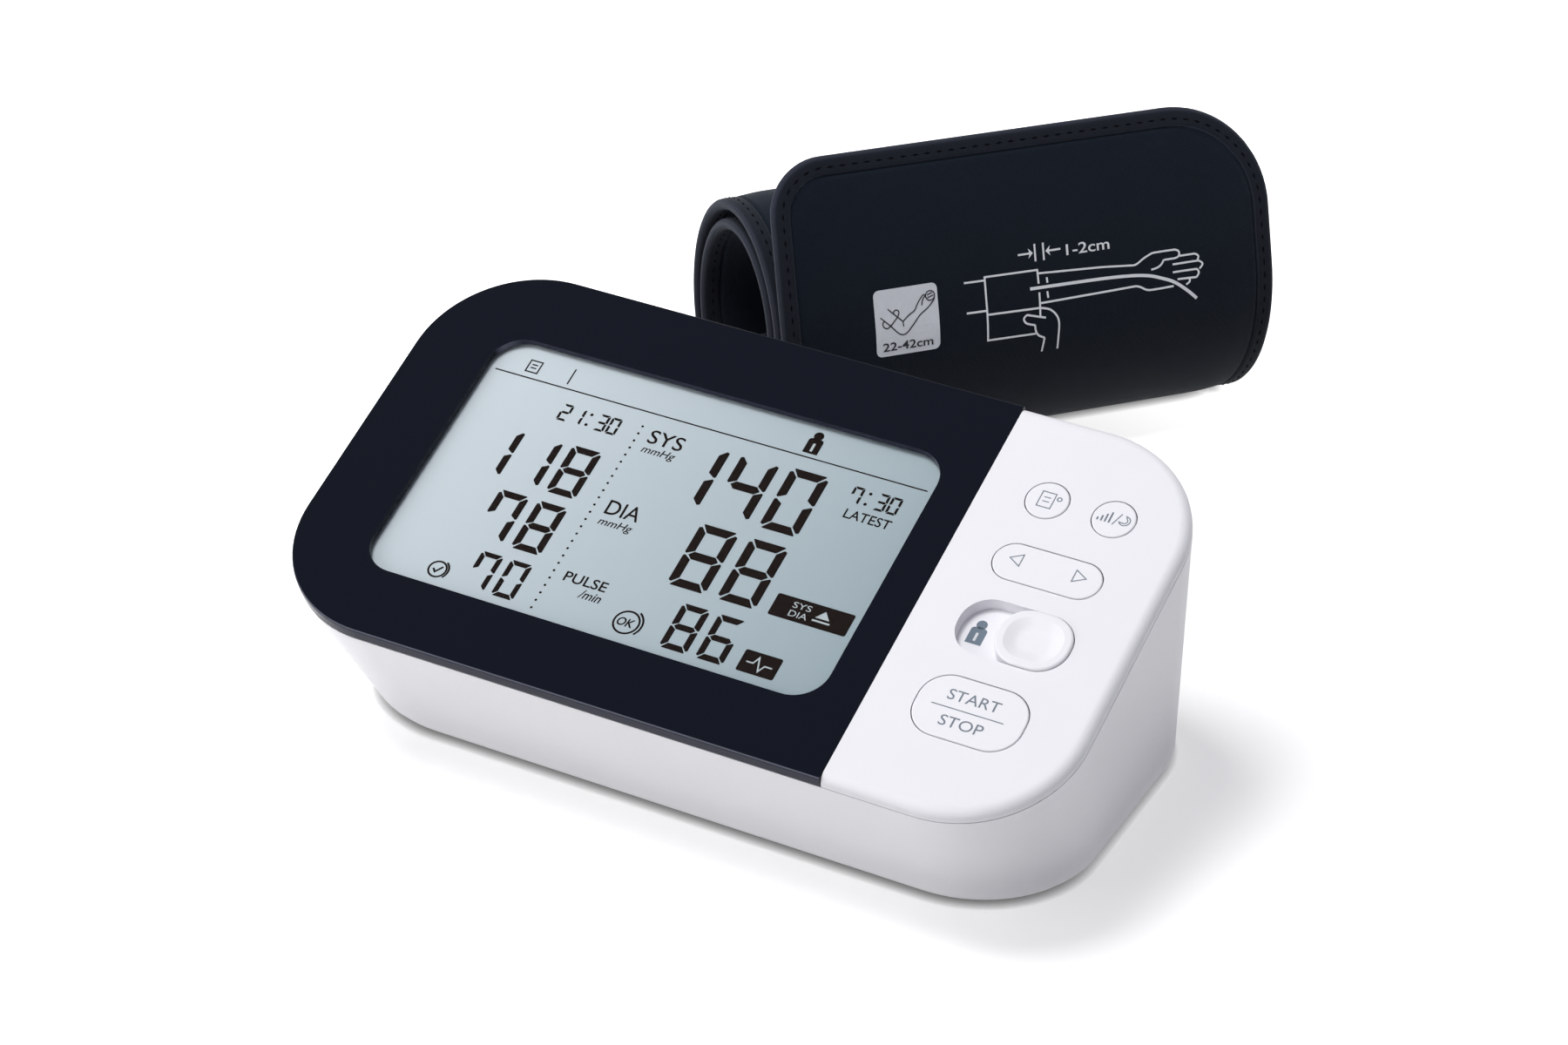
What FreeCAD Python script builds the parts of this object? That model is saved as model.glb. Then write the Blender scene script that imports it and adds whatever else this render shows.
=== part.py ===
import FreeCAD, Part
import math
import os
import re
import Sketcher
from FreeCAD import Placement, Rotation, Vector

# Home upper-arm blood pressure monitor with its rolled arm cuff, in millimetres.
# X runs to the monitor's right, Y to its back and Z up from the table.

SIZES = {
    # Sloping lid: outline, slope and the height of its middle above the table
    "lid_width": 191.0,
    "lid_length": 105.8,
    "lid_corner": 27.7,
    "lid_thickness": 3.0,
    "lid_edge_round": 2.4,
    "lid_tilt_angle": 23.2,
    "lid_height": 59.7,
    # Lower case: outline on the table, walls and the seam under the lid
    "base_inset": 5.8,
    "base_depth": 97.4,
    "base_corner": 28.4,
    "base_setback": 21.6,
    "base_bevel": 1.6,
    "wall": 2.2,
    "floor_thickness": 2.2,
    "seam_gap": 0.25,
    "tongue_depth": 2.0,
    "tongue_thickness": 1.3,
    "tongue_clearance": 0.7,
    # Black display panel and what is stacked under its window
    "panel_width": 49.0,
    "bezel_rim": 2.2,
    "bezel_face": 1.6,
    "bezel_edge_round": 0.5,
    "panel_gap": 0.12,
    "window_left_margin": 19.0,
    "window_right_margin": 9.2,
    "window_top_margin": 18.8,
    "window_low_margin": 17.0,
    "window_corner": 8.0,
    "lens_border": 2.0,
    "lens_thickness": 0.8,
    "lcd_thickness": 1.8,
    "guide_thickness": 2.0,
    "holder_wall": 2.2,
    "holder_floor": 1.5,
    "holder_border": 8.0,
    "stack_gap": 0.05,
    "stack_fit": 0.3,
    # Boards and their screw posts
    "board_left_margin": 14.5,
    "board_right_reach": 1.5,
    "board_border": 7.7,
    "board_corner": 3.0,
    "board_y": -1.0,
    "board_thickness": 1.6,
    "board_post_radius": 2.4,
    "board_post_inset_x": 11.0,
    "board_post_inset_y": 2.6,
    "key_board_width": 25.5,
    "key_board_share": 0.7807,
    "key_board_inset": 26.2,
    "key_board_y": -0.5,
    "key_board_drop": 9.0,
    "key_post_radius": 1.9,
    "key_post_inset_x": 2.9,
    "key_post_inset_y": 2.4,
    "small_screw_radius": 0.9,
    "small_screw_head": 1.7,
    "small_screw_head_height": 1.2,
    "small_screw_length": 5.0,
    "screw_clearance": 0.05,
    # Buttons on the white control panel, and their places up it as shares of the lid's length
    "round_button_radius": 5.1,
    "left_button_inset": 33.5,
    "right_button_inset": 17.8,
    "round_button_share": 0.2845,
    "rocker_length": 25.5,
    "rocker_width": 10.2,
    "rocker_inset": 25.8,
    "rocker_share": 0.11815,
    "rocker_pivot_radius": 0.8,
    "rocker_pivot_drop": 4.2,
    "rocker_pivot_length": 1.9,
    "rocker_ear_thickness": 1.6,
    "rocker_ear_width": 3.4,
    "rocker_stem_offset": 8.7,
    "start_width": 25.3,
    "start_height": 16.2,
    "start_corner": 7.0,
    "start_inset": 26.1,
    "start_share": -0.25425,
    "button_gap": 0.25,
    "button_proud": 0.15,
    "button_edge_round": 0.35,
    "button_flange": 0.8,
    "button_flange_thickness": 0.9,
    "button_flange_gap": 0.3,
    "button_stem_radius": 1.5,
    "button_stem_gap": 0.7,
    "switch_side": 6.0,
    "switch_height": 3.4,
    "switch_plunger_radius": 1.7,
    "switch_plunger_height": 0.8,
    # Two-user slide switch
    "slot_width": 26.2,
    "slot_height": 15.0,
    "slot_corner": 7.0,
    "slot_inset": 25.5,
    "slot_share": -0.05104,
    "slot_depth": 3.4,
    "tub_wall": 1.0,
    "tub_floor": 1.0,
    "knob_width": 17.0,
    "knob_proud": 0.7,
    "knob_clearance": 0.2,
    "knob_edge_round": 0.6,
    "knob_rim": 1.9,
    "knob_dish_depth": 1.1,
    "knob_dish_slope": 2.6,
    "knob_dish_round": 4.0,
    "knob_stem_width": 2.4,
    "knob_stem_length": 3.6,
    "knob_stem_clearance": 0.4,
    "knob_stem_offset": 3.2,
    "shutter_thickness": 0.5,
    "shutter_gap": 0.2,
    "shutter_border": 1.4,
    "slide_body_width": 17.0,
    "slide_body_length": 7.0,
    "slide_body_height": 3.6,
    "slide_channel_depth": 2.4,
    # Screws that hold the lid, from below
    "boss_left_inset": 10.5,
    "boss_panel_inset": 5.5,
    "boss_front_y": 0.0,
    "boss_back_y": 34.0,
    "boss_front_height": 36.0,
    "boss_back_height": 52.0,
    "boss_radius": 3.9,
    "boss_bore_radius": 2.9,
    "boss_shoulder": 5.0,
    "post_radius": 3.0,
    "post_gap": 0.1,
    "screw_radius": 1.3,
    "screw_head_radius": 2.6,
    "screw_head_height": 2.0,
    "screw_length": 14.0,
    # Rubber feet
    "foot_height": 1.0,
    "foot_radius": 5.0,
    "foot_recess": 0.7,
    "foot_clearance": 0.15,
    "foot_edge_round": 0.4,
    "foot_side_inset": 23.7,
    "foot_front_inset": 15.1,
    "foot_back_inset": 14.3,
    # Battery compartment, its cells and its cover
    "cell_radius": 7.25,
    "cell_length": 49.0,
    "cell_pitch": 14.9,
    "cell_nub_radius": 2.75,
    "cell_nub_length": 1.5,
    "cell_gap": 0.3,
    "contact_side": 10.0,
    "contact_thickness": 0.4,
    "spring_length": 4.6,
    "spring_base_radius": 4.0,
    "spring_tip_radius": 2.4,
    "tub_side_gap": 0.6,
    "tub_from_back": 38.3,
    "tub_skin": 1.6,
    "cover_thickness": 2.0,
    "cover_lip": 1.5,
    "cover_gap": 0.3,
    "cover_corner": 2.5,
    "cover_hook_width": 8.0,
    "cover_hook_spread": 18.0,
    "cover_hook_reach": 2.2,
    "cover_hook_height": 1.4,
    "latch_width": 14.0,
    "latch_length": 9.0,
    "latch_slit": 1.0,
    "grip_radius": 9.0,
    "grip_depth": 1.2,
    # Air pump, release valve, sensor and the air lines between them
    "pump_inset": 45.5,
    "pump_front_inset": 19.1,
    "pump_lift": 1.0,
    "motor_radius": 12.5,
    "motor_length": 30.0,
    "motor_boss_radius": 4.0,
    "motor_boss_length": 2.0,
    "head_side": 27.0,
    "head_length": 26.0,
    "head_corner": 5.0,
    "head_gap": 0.1,
    "cradle_width": 31.0,
    "cradle_length": 22.0,
    "cradle_inset": 4.0,
    "cradle_clearance": 0.1,
    "air_line_height": 20.0,
    "manifold_inset": 22.5,
    "manifold_side": 8.0,
    "manifold_length": 32.0,
    "manifold_offset": 26.0,
    "jack_offset": 13.0,
    "outlet_offset": 12.0,
    "barb_radius": 1.8,
    "barb_length": 3.4,
    "short_barb_length": 2.4,
    "hose_radius": 3.0,
    "hose_bore_radius": 1.9,
    "hose_end_gap": 0.3,
    "hose_bend": 15.0,
    "hose_rise": 3.0,
    "valve_width": 13.0,
    "valve_length": 20.0,
    "valve_back_inset": 29.1,
    "valve_height": 23.0,
    "valve_corner": 2.0,
    "sensor_width": 12.0,
    "sensor_length": 10.0,
    "sensor_height": 6.0,
    "sensor_corner": 1.0,
    # Sockets in the case walls
    "jack_radius": 6.0,
    "jack_bore_radius": 3.0,
    "jack_bore_depth": 9.0,
    "jack_passage_radius": 0.9,
    "jack_neck_radius": 4.4,
    "jack_barb_length": 2.0,
    "jack_mouth_inset": 2.9,
    "jack_end_inset": 12.7,
    "jack_flange_radius": 7.4,
    "jack_flange_thickness": 1.4,
    "jack_flange_inset": 7.3,
    "jack_clearance": 0.2,
    "dc_jack_side_inset": 33.5,
    "dc_jack_side": 11.0,
    "dc_jack_length": 13.0,
    "dc_jack_back_inset": 6.7,
    "dc_barrel_radius": 4.2,
    "dc_barrel_length": 3.8,
    "dc_bore_radius": 2.75,
    "dc_bore_depth": 10.0,
    "dc_pin_radius": 0.85,
    "dc_clearance": 0.3,
    "part_gap": 0.1,
    # Components on the main board's underside
    "chip_side": 14.0,
    "chip_height": 1.6,
    "memory_width": 8.0,
    "memory_length": 6.0,
    "buzzer_radius": 6.0,
    "buzzer_height": 5.0,
    "chip_offset": 6.5,
    "chip_y": 12.0,
    "memory_offset": 28.5,
    "buzzer_offset": 46.5,
    "buzzer_y": -22.0,
    # Rolled arm cuff: an oval winding whose outer end stands up as a flap
    "cuff_x": -20.7,
    "cuff_y": 175.0,
    "cuff_turn_angle": 48.5,
    "cuff_width": 134.0,
    "cuff_thickness": 4.0,
    "cuff_pitch": 5.0,
    "cuff_depth_radius": 33.1,
    "cuff_height_radius": 34.5,
    "cuff_flat": 0.5,
    "cuff_flap_length": 42.8,
    "cuff_flap_left_corner": 14.0,
    "cuff_flap_right_corner": 28.0,
    "cuff_end_corner": 6.0,
    "cuff_cloth": 0.8,
    "cuff_hem": 9.0,
    "curler_thickness": 0.9,
    "bladder_thickness": 1.05,
    "layer_gap": 0.15,
    "port_radius": 2.1,
    "port_length": 10.0,
    "port_collar_radius": 2.9,
    "port_collar_length": 2.0,
    # Cuts run past the surface that they open by this much
    "overrun": 1.0,
}

# Sizes and places that follow from the ones above
FOLLOWING = {
    "base_width": "lid_width - 2 * base_inset",
    "base_front_y": "base_setback - base_depth / 2",
    "base_back_y": "base_setback + base_depth / 2",
    "bezel_width": "lid_width - panel_width",
    "window_width": "bezel_width - window_left_margin - window_right_margin",
    "window_x": "window_left_margin + window_width / 2 - lid_width / 2",
    "window_height": "lid_length - window_top_margin - window_low_margin",
    "window_y": "(window_low_margin - window_top_margin) / 2",
    "board_width": "bezel_width - board_left_margin + board_right_reach",
    "board_length": "window_height + 2 * (lens_border + stack_fit + board_border)",
    "board_x": "board_left_margin + board_width / 2 - lid_width / 2",
    "chip_x": "board_x + chip_offset",
    "memory_x": "board_x + memory_offset",
    "buzzer_x": "board_x + buzzer_offset",
    "key_board_length": "lid_length * key_board_share",
    "key_board_x": "lid_width / 2 - key_board_inset",
    "left_button_x": "lid_width / 2 - left_button_inset",
    "right_button_x": "lid_width / 2 - right_button_inset",
    "round_button_y": "lid_length * round_button_share",
    "rocker_x": "lid_width / 2 - rocker_inset",
    "rocker_y": "lid_length * rocker_share",
    "start_x": "lid_width / 2 - start_inset",
    "start_y": "lid_length * start_share",
    "slot_x": "lid_width / 2 - slot_inset",
    "slot_y": "lid_length * slot_share",
    "boss_left_x": "boss_left_inset - lid_width / 2",
    "boss_right_x": "lid_width / 2 - panel_width + boss_panel_inset",
    "foot_spread_x": "base_width / 2 - foot_side_inset",
    "foot_front_y": "base_front_y + foot_front_inset",
    "foot_back_y": "base_back_y - foot_back_inset",
    "tub_y": "base_back_y - tub_from_back",
    "pump_x": "pump_inset - lid_width / 2",
    "pump_front_y": "base_front_y + pump_front_inset",
    "valve_back_y": "base_front_y + valve_back_inset",
    "manifold_x": "manifold_inset - lid_width / 2",
    "manifold_y": "valve_back_y + manifold_offset",
    "jack_y": "manifold_y - jack_offset",
    "outlet_y": "manifold_y + outlet_offset",
    "jack_mouth_x": "jack_mouth_inset - lid_width / 2",
    "jack_flange_x": "jack_flange_inset - lid_width / 2",
    "jack_end_x": "jack_end_inset - lid_width / 2",
    "dc_jack_x": "lid_width / 2 - dc_jack_side_inset",
    "dc_jack_back_y": "base_back_y - dc_jack_back_inset",
}

# The winding in turns from the front of the roll: where the flap leaves it, where the bladder's
# pocket is sewn on and where it ends
FLAP_TURN_SHARE = -0.06
SEAM_TURN_SHARE = 1.0
INNER_END_TURN_SHARE = 2.4
POCKET_TURN_SHARES = (1.06, 2.28)
CURLER_TURN_SHARES = (1.08, 2.26)
BLADDER_TURN_SHARES = (1.10, 2.24)
PORT_TURN_SHARE = 0.56
NEXT_LOOP_TURN_SHARE = 0.6
ARCS_PER_TURN_COUNT = 8
GAP_STEP_COUNT = 720

CELL_COUNT = 4

doc = FreeCAD.newDocument("blood_pressure_monitor")
sheet = doc.addObject("Spreadsheet::Sheet", "sizes")
formulas = {alias: f"={formula}" for alias, formula in FOLLOWING.items()}
for row, (alias, content) in enumerate({**SIZES, **formulas}.items(), start=1):
    sheet.set(f"A{row}", alias)
    sheet.set(f"B{row}", str(content))
    sheet.setAlias(f"B{row}", alias)
doc.recompute()

pieces = []


# Reading and binding sizes

def cells(text):
    """Put the sheet's name before each size named in an expression."""
    def named(word):
        known = word[0] in SIZES or word[0] in FOLLOWING
        return f"sizes.{word[0]}" if known else word[0]

    return re.sub(r"[a-z_]+", named, text)


def size(text):
    """The value of an expression in named sizes."""
    return float(sheet.evalExpression(cells(text)))


def bind(item, **properties):
    """Drive an object's properties by expressions in named sizes."""
    for name, text in properties.items():
        item.setExpression(name, cells(text))


# Bodies, sketches and features

def new_body(label, placement=Placement()):
    """A new sub-part, listed for writing."""
    body = doc.addObject("PartDesign::Body", label)
    body.Label = label
    body.Placement = placement
    pieces.append(body)
    return body


def new_sketch(body, name, level="0", plane="XY_Plane", tilt=None):
    """A sketch on one of the body's origin planes, raised by level and turned about X by tilt."""
    sketch = body.newObject("Sketcher::SketchObject", f"{body.Name}_{name}")
    support = next(item for item in body.Origin.OriginFeatures if item.Role == plane)
    sketch.AttachmentSupport = (support, "")
    sketch.MapMode = "FlatFace"
    if tilt:
        sketch.AttachmentOffset = Placement(Vector(), Rotation(Vector(1, 0, 0), size(tilt)))
    sketch.setExpression("AttachmentOffset.Base.z", cells(level))
    return sketch


def hold_point(sketch, geometry, point, x, y):
    """Fix a point of a sketch at a place given in named sizes."""
    for kind, text in (("DistanceX", x), ("DistanceY", y)):
        index = sketch.addConstraint(Sketcher.Constraint(kind, -1, 1, geometry, point, size(text)))
        sketch.setExpression(f"Constraints[{index}]", cells(text))


def hold_radius(sketch, geometry, radius):
    """Fix a circle's or arc's radius at a named size."""
    index = sketch.addConstraint(Sketcher.Constraint("Radius", geometry, size(radius)))
    sketch.setExpression(f"Constraints[{index}]", cells(radius))


def circle(sketch, x, y, radius):
    """A circle about (x, y)."""
    ring = sketch.addGeometry(Part.Circle(Vector(size(x), size(y)), Vector(0, 0, 1), size(radius)))
    hold_point(sketch, ring, 3, x, y)
    hold_radius(sketch, ring, radius)


def outline(sketch, corners):
    """A closed outline of straight edges through the corners."""
    points = [Vector(size(x), size(y)) for x, y in corners]
    count = len(points)
    edges = [sketch.addGeometry(Part.LineSegment(points[i], points[(i + 1) % count])) for i in range(count)]
    for i, edge in enumerate(edges):
        sketch.addConstraint(Sketcher.Constraint("Coincident", edge, 2, edges[(i + 1) % count], 1))
        hold_point(sketch, edge, 1, *corners[i])


def rectangle(sketch, width, height, x="0", y="0"):
    """A sharp rectangle about (x, y)."""
    left, right = f"({x}) - ({width}) / 2", f"({x}) + ({width}) / 2"
    low, high = f"({y}) - ({height}) / 2", f"({y}) + ({height}) / 2"
    outline(sketch, [(left, low), (right, low), (right, high), (left, high)])


def joined_arcs(sketch, centres, radius, sweep):
    """Equal arcs about the centres, taken anticlockwise, joined by tangent lines."""
    count = len(centres)
    start = 0.0 if count == 4 else -math.pi / 2
    arcs = []
    for i, (x, y) in enumerate(centres):
        ring = Part.Circle(Vector(size(x), size(y)), Vector(0, 0, 1), size(radius))
        arcs.append(sketch.addGeometry(Part.ArcOfCircle(ring, start + i * sweep, start + (i + 1) * sweep)))
    for i, arc in enumerate(arcs):
        following = arcs[(i + 1) % count]
        line = Part.LineSegment(sketch.getPoint(arc, 2), sketch.getPoint(following, 1))
        side = sketch.addGeometry(line)
        sketch.addConstraint(Sketcher.Constraint("Tangent", arc, 2, side, 1))
        sketch.addConstraint(Sketcher.Constraint("Tangent", side, 2, following, 1))
    for arc, (x, y) in zip(arcs, centres):
        hold_point(sketch, arc, 3, x, y)
    hold_radius(sketch, arcs[0], radius)
    for arc in arcs[1:]:
        sketch.addConstraint(Sketcher.Constraint("Equal", arcs[0], arc))


def rounded(sketch, width, height, corner, x="0", y="0"):
    """A rectangle with round corners about (x, y)."""
    across, along = f"(({width}) / 2 - ({corner}))", f"(({height}) / 2 - ({corner}))"
    signs = (("+", "+"), ("-", "+"), ("-", "-"), ("+", "-"))
    centres = [(f"({x}) {a} {across}", f"({y}) {b} {along}") for a, b in signs]
    joined_arcs(sketch, centres, corner, math.pi / 2)


def pill(sketch, length, width, x, y):
    """A shape with half-round ends, longest along X, about (x, y)."""
    reach = f"(({length}) - ({width})) / 2"
    joined_arcs(sketch, [(f"({x}) + {reach}", y), (f"({x}) - {reach}", y)], f"({width}) / 2", math.pi)


def pad(body, sketch, length, down=False):
    """Raise a sketch into material, along its normal or down from it."""
    feature = body.newObject("PartDesign::Pad", f"{sketch.Name}_pad")
    feature.Profile = sketch
    feature.Reversed = down
    bind(feature, Length=length)
    doc.recompute()
    return feature


def pocket(body, sketch, depth, up=False):
    """Cut a sketch into the body, against its normal or up along it, and see that it cuts."""
    doc.recompute()
    before = body.Shape.Volume
    feature = body.newObject("PartDesign::Pocket", f"{sketch.Name}_pocket")
    feature.Profile = sketch
    feature.Reversed = up
    bind(feature, Length=depth)
    doc.recompute()
    if not body.Shape.Volume < before:
        raise RuntimeError(f"{feature.Name} cuts nothing")
    return feature


def spin(body, sketch, axis="H_Axis", cut=False):
    """Turn a sketch about one of its axes, as material or as a groove."""
    kind = "PartDesign::Groove" if cut else "PartDesign::Revolution"
    feature = body.newObject(kind, f"{sketch.Name}_spin")
    feature.Profile = sketch
    feature.ReferenceAxis = (sketch, [axis])
    doc.recompute()
    return feature


def loft(body, sections, cut=False):
    """A ruled loft through sketches, as material or as a cut."""
    kind = "PartDesign::SubtractiveLoft" if cut else "PartDesign::AdditiveLoft"
    feature = body.newObject(kind, f"{sections[0].Name}_loft")
    feature.Profile = sections[0]
    feature.Sections = sections[1:]
    feature.Ruled = True
    doc.recompute()
    return feature


def flat_edges(feature, level):
    """Names of a feature's edges that lie at one height in its own frame."""
    height = size(level)
    near = size("stack_gap") / 10
    names = []
    for index, edge in enumerate(feature.Shape.Edges, start=1):
        box = edge.BoundBox
        if abs(box.ZMin - height) < near and abs(box.ZMax - height) < near:
            names.append(f"Edge{index}")
    return names


def largest_face(feature, level):
    """Name of a feature's largest flat face at one height in its own frame."""
    height = size(level)
    near = size("stack_gap") / 10
    areas = {}
    for index, face in enumerate(feature.Shape.Faces, start=1):
        box = face.BoundBox
        if abs(box.ZMin - height) < near and abs(box.ZMax - height) < near:
            areas[f"Face{index}"] = face.Area
    return max(areas, key=areas.get)


def round_edges(body, feature, level, radius):
    """Round the edges of a feature that lie at one height."""
    rounding = body.newObject("PartDesign::Fillet", f"{feature.Name}_round")
    rounding.Base = (feature, flat_edges(feature, level))
    bind(rounding, Radius=radius)
    doc.recompute()
    return rounding


# Frames: the lid's own frame has its origin on the middle of the sloping face, Z out of it

lid_frame = Placement(Vector(0, 0, size("lid_height")), Rotation(Vector(1, 0, 0), size("lid_tilt_angle")))
cuff_frame = Placement(
    Vector(size("cuff_x"), size("cuff_y"), 0), Rotation(Vector(0, 0, 1), size("cuff_turn_angle"))
)

# Places worked out from the sizes, as expressions

SEAM_X = "bezel_width - lid_width / 2"
DECK_TOP = "-(bezel_face + stack_gap)"
LID_UNDERSIDE = "-lid_thickness"
LENS_TOP = DECK_TOP
LCD_TOP = f"{LENS_TOP} - lens_thickness - stack_gap"
GUIDE_TOP = f"{LCD_TOP} - lcd_thickness - stack_gap"
HOLDER_FLOOR_TOP = f"{GUIDE_TOP} - guide_thickness - stack_gap"
BOARD_TOP = f"{HOLDER_FLOOR_TOP} - holder_floor - stack_gap"
BOARD_UNDERSIDE = f"{BOARD_TOP} - board_thickness"
KEY_BOARD_TOP = "-key_board_drop"
LENS_WIDTH = "window_width + 2 * lens_border"
LENS_HEIGHT = "window_height + 2 * lens_border"
STACK_WIDTH = f"{LENS_WIDTH} + 2 * stack_fit"
STACK_HEIGHT = f"{LENS_HEIGHT} + 2 * stack_fit"
FLOOR_TOP = "foot_height + floor_thickness"
COVER_TOP = "foot_height + cover_thickness"
CELL_HEIGHT = f"{COVER_TOP} + cell_gap + cell_radius"
TUB_WIDTH = f"cell_pitch * {CELL_COUNT} + tub_side_gap"
TUB_LENGTH = "cell_length + cell_nub_length + spring_length + 2 * contact_thickness + 4 * part_gap"
TUB_ROOF = f"{CELL_HEIGHT} + cell_radius + cell_gap"
COVER_WIDTH = f"{TUB_WIDTH} + 2 * cover_lip"
COVER_LENGTH = f"{TUB_LENGTH} + 2 * cover_lip"
COVER_BACK_Y = f"tub_y + ({COVER_LENGTH}) / 2"
COVER_FRONT_Y = f"tub_y - ({COVER_LENGTH}) / 2"
MOTOR_AXIS_HEIGHT = f"{FLOOR_TOP} + pump_lift + head_side / 2"
HEAD_FRONT_Y = "pump_front_y + motor_length + head_gap"
DC_AXIS_HEIGHT = f"{FLOOR_TOP} + part_gap + dc_jack_side / 2"
PLUNGER_TOP = f"{KEY_BOARD_TOP} + part_gap + switch_height + switch_plunger_height"
STEM_END = f"{PLUNGER_TOP} + button_stem_gap"
FLANGE_TOP = f"{LID_UNDERSIDE} - button_flange_gap"
KNOB_X = "slot_x + (slot_width - knob_width) / 2 - knob_clearance"
STEM_X = f"{KNOB_X} + knob_stem_offset"
STEM_RUN_X = "slot_x + knob_stem_offset"
STEM_RUN_LENGTH = "slot_width - knob_width + knob_stem_length + 2 * knob_stem_clearance"
STEM_RUN_WIDTH = "knob_stem_width + 2 * knob_stem_clearance"

BOARD_POSTS = [
    (
        f"board_x {a} (board_width / 2 - board_post_inset_x)",
        f"board_y {b} (board_length / 2 - board_post_inset_y)",
    )
    for a in "+-"
    for b in "+-"
]
KEY_POSTS = [
    (
        f"key_board_x {a} (key_board_width / 2 - key_post_inset_x)",
        f"key_board_y {b} (key_board_length / 2 - key_post_inset_y)",
    )
    for a in "+-"
    for b in "+-"
]
SWITCH_PLACES = [
    ("left_button_x", "round_button_y"),
    ("right_button_x", "round_button_y"),
    ("rocker_x - rocker_stem_offset", "rocker_y"),
    ("rocker_x + rocker_stem_offset", "rocker_y"),
    ("start_x", "start_y"),
]
CASE_SCREW_ROWS = {
    "front": ("boss_front_y", "boss_front_height"),
    "back": ("boss_back_y", "boss_back_height"),
}
FOOT_PLACES = [(x, y) for x in ("foot_spread_x", "-foot_spread_x") for y in ("foot_front_y", "foot_back_y")]
CELL_PLACES = [f"({i} - {(CELL_COUNT - 1) / 2}) * cell_pitch" for i in range(CELL_COUNT)]


# Case shells

def make_lower_case():
    """White tapered tub: base outline on the table, rim along the sloping seam."""
    body = new_body("lower_case")
    seam = "lid_thickness + seam_gap"

    def base_outline(name, inset, level):
        sketch = new_sketch(body, name, level)
        rounded(
            sketch, f"base_width - 2 * ({inset})", f"base_depth - 2 * ({inset})", f"base_corner - ({inset})",
            y="base_setback",
        )
        return sketch

    def rim_outline(name, inset, drop):
        sketch = new_sketch(body, name, "lid_height", tilt="lid_tilt_angle")
        sketch.setExpression("AttachmentOffset.Rotation.Angle", cells("lid_tilt_angle"))
        sketch.setExpression("AttachmentOffset.Base.y", cells(f"({drop}) * sin(lid_tilt_angle * 1 deg)"))
        level = f"lid_height - ({drop}) * cos(lid_tilt_angle * 1 deg)"
        sketch.setExpression("AttachmentOffset.Base.z", cells(level))
        rounded(
            sketch, f"lid_width - 2 * ({inset})", f"lid_length - 2 * ({inset})", f"lid_corner - ({inset})"
        )
        return sketch

    outside = [
        base_outline("foot_outline", "base_bevel", "foot_height"),
        base_outline("base_outline", "0", "foot_height + base_bevel"),
        rim_outline("rim_outline", "0", seam),
    ]
    loft(body, outside)
    inside = [
        base_outline("inner_base", "wall", FLOOR_TOP),
        rim_outline("inner_rim", "wall", f"{seam} - overrun"),
    ]
    loft(body, inside, cut=True)

    tub = new_sketch(body, "battery_tub", "foot_height")
    rounded(
        tub, f"{TUB_WIDTH} + 2 * tub_skin", f"{TUB_LENGTH} + 2 * tub_skin", "cover_corner", y="tub_y"
    )
    pad(body, tub, f"{TUB_ROOF} + tub_skin - foot_height")
    cavity = new_sketch(body, "battery_cavity", "foot_height")
    rectangle(cavity, TUB_WIDTH, TUB_LENGTH, y="tub_y")
    pocket(body, cavity, f"{TUB_ROOF} - foot_height", up=True)
    recess = new_sketch(body, "cover_recess", "foot_height")
    rounded(
        recess, f"{COVER_WIDTH} + 2 * cover_gap", f"{COVER_LENGTH} + 2 * cover_gap",
        "cover_corner + cover_gap", y="tub_y",
    )
    pocket(body, recess, "cover_thickness + part_gap", up=True)
    hooks = new_sketch(body, "hook_slots", f"{COVER_TOP} - cover_gap")
    hook_depth = "cover_hook_reach + 2 * cover_gap + cover_lip"
    for side in "+-":
        rectangle(
            hooks, "cover_hook_width + 2 * cover_gap", hook_depth, f"{side}cover_hook_spread",
            f"{COVER_BACK_Y} - cover_lip + ({hook_depth}) / 2",
        )
    pocket(body, hooks, "2 * cover_hook_reach + cover_hook_height", up=True)
    grip = new_sketch(body, "finger_grip", "foot_height")
    circle(grip, "0", COVER_FRONT_Y, "grip_radius")
    pocket(body, grip, "grip_depth", up=True)

    for row, (y, height) in CASE_SCREW_ROWS.items():
        bosses = new_sketch(body, f"{row}_bosses", "foot_height + base_bevel")
        bores = new_sketch(body, f"{row}_boss_bores", "foot_height")
        holes = new_sketch(body, f"{row}_boss_holes", "foot_height")
        for x in ("boss_left_x", "boss_right_x"):
            circle(bosses, x, y, "boss_radius")
            circle(bores, x, y, "boss_bore_radius")
            circle(holes, x, y, "screw_radius + 4 * screw_clearance")
        pad(body, bosses, f"{height} - foot_height - base_bevel")
        pocket(body, bores, f"{height} - foot_height - boss_shoulder", up=True)
        pocket(body, holes, f"{height} - foot_height + overrun", up=True)

    feet = new_sketch(body, "foot_recesses", "foot_height")
    for x, y in FOOT_PLACES:
        circle(feet, x, y, "foot_radius + foot_clearance")
    pocket(body, feet, "foot_recess", up=True)

    jack = new_sketch(body, "air_jack_hole", "-lid_width / 2", plane="YZ_Plane")
    circle(jack, "jack_y", "air_line_height", "jack_radius + jack_clearance")
    pocket(body, jack, "lid_width / 2 + jack_flange_x", up=True)
    power = new_sketch(body, "power_hole", "-(base_setback + base_depth / 2)", plane="XZ_Plane")
    circle(power, "dc_jack_x", DC_AXIS_HEIGHT, "dc_barrel_radius + dc_clearance")
    pocket(body, power, "base_setback + base_depth / 2 - dc_jack_back_y", up=True)


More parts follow.
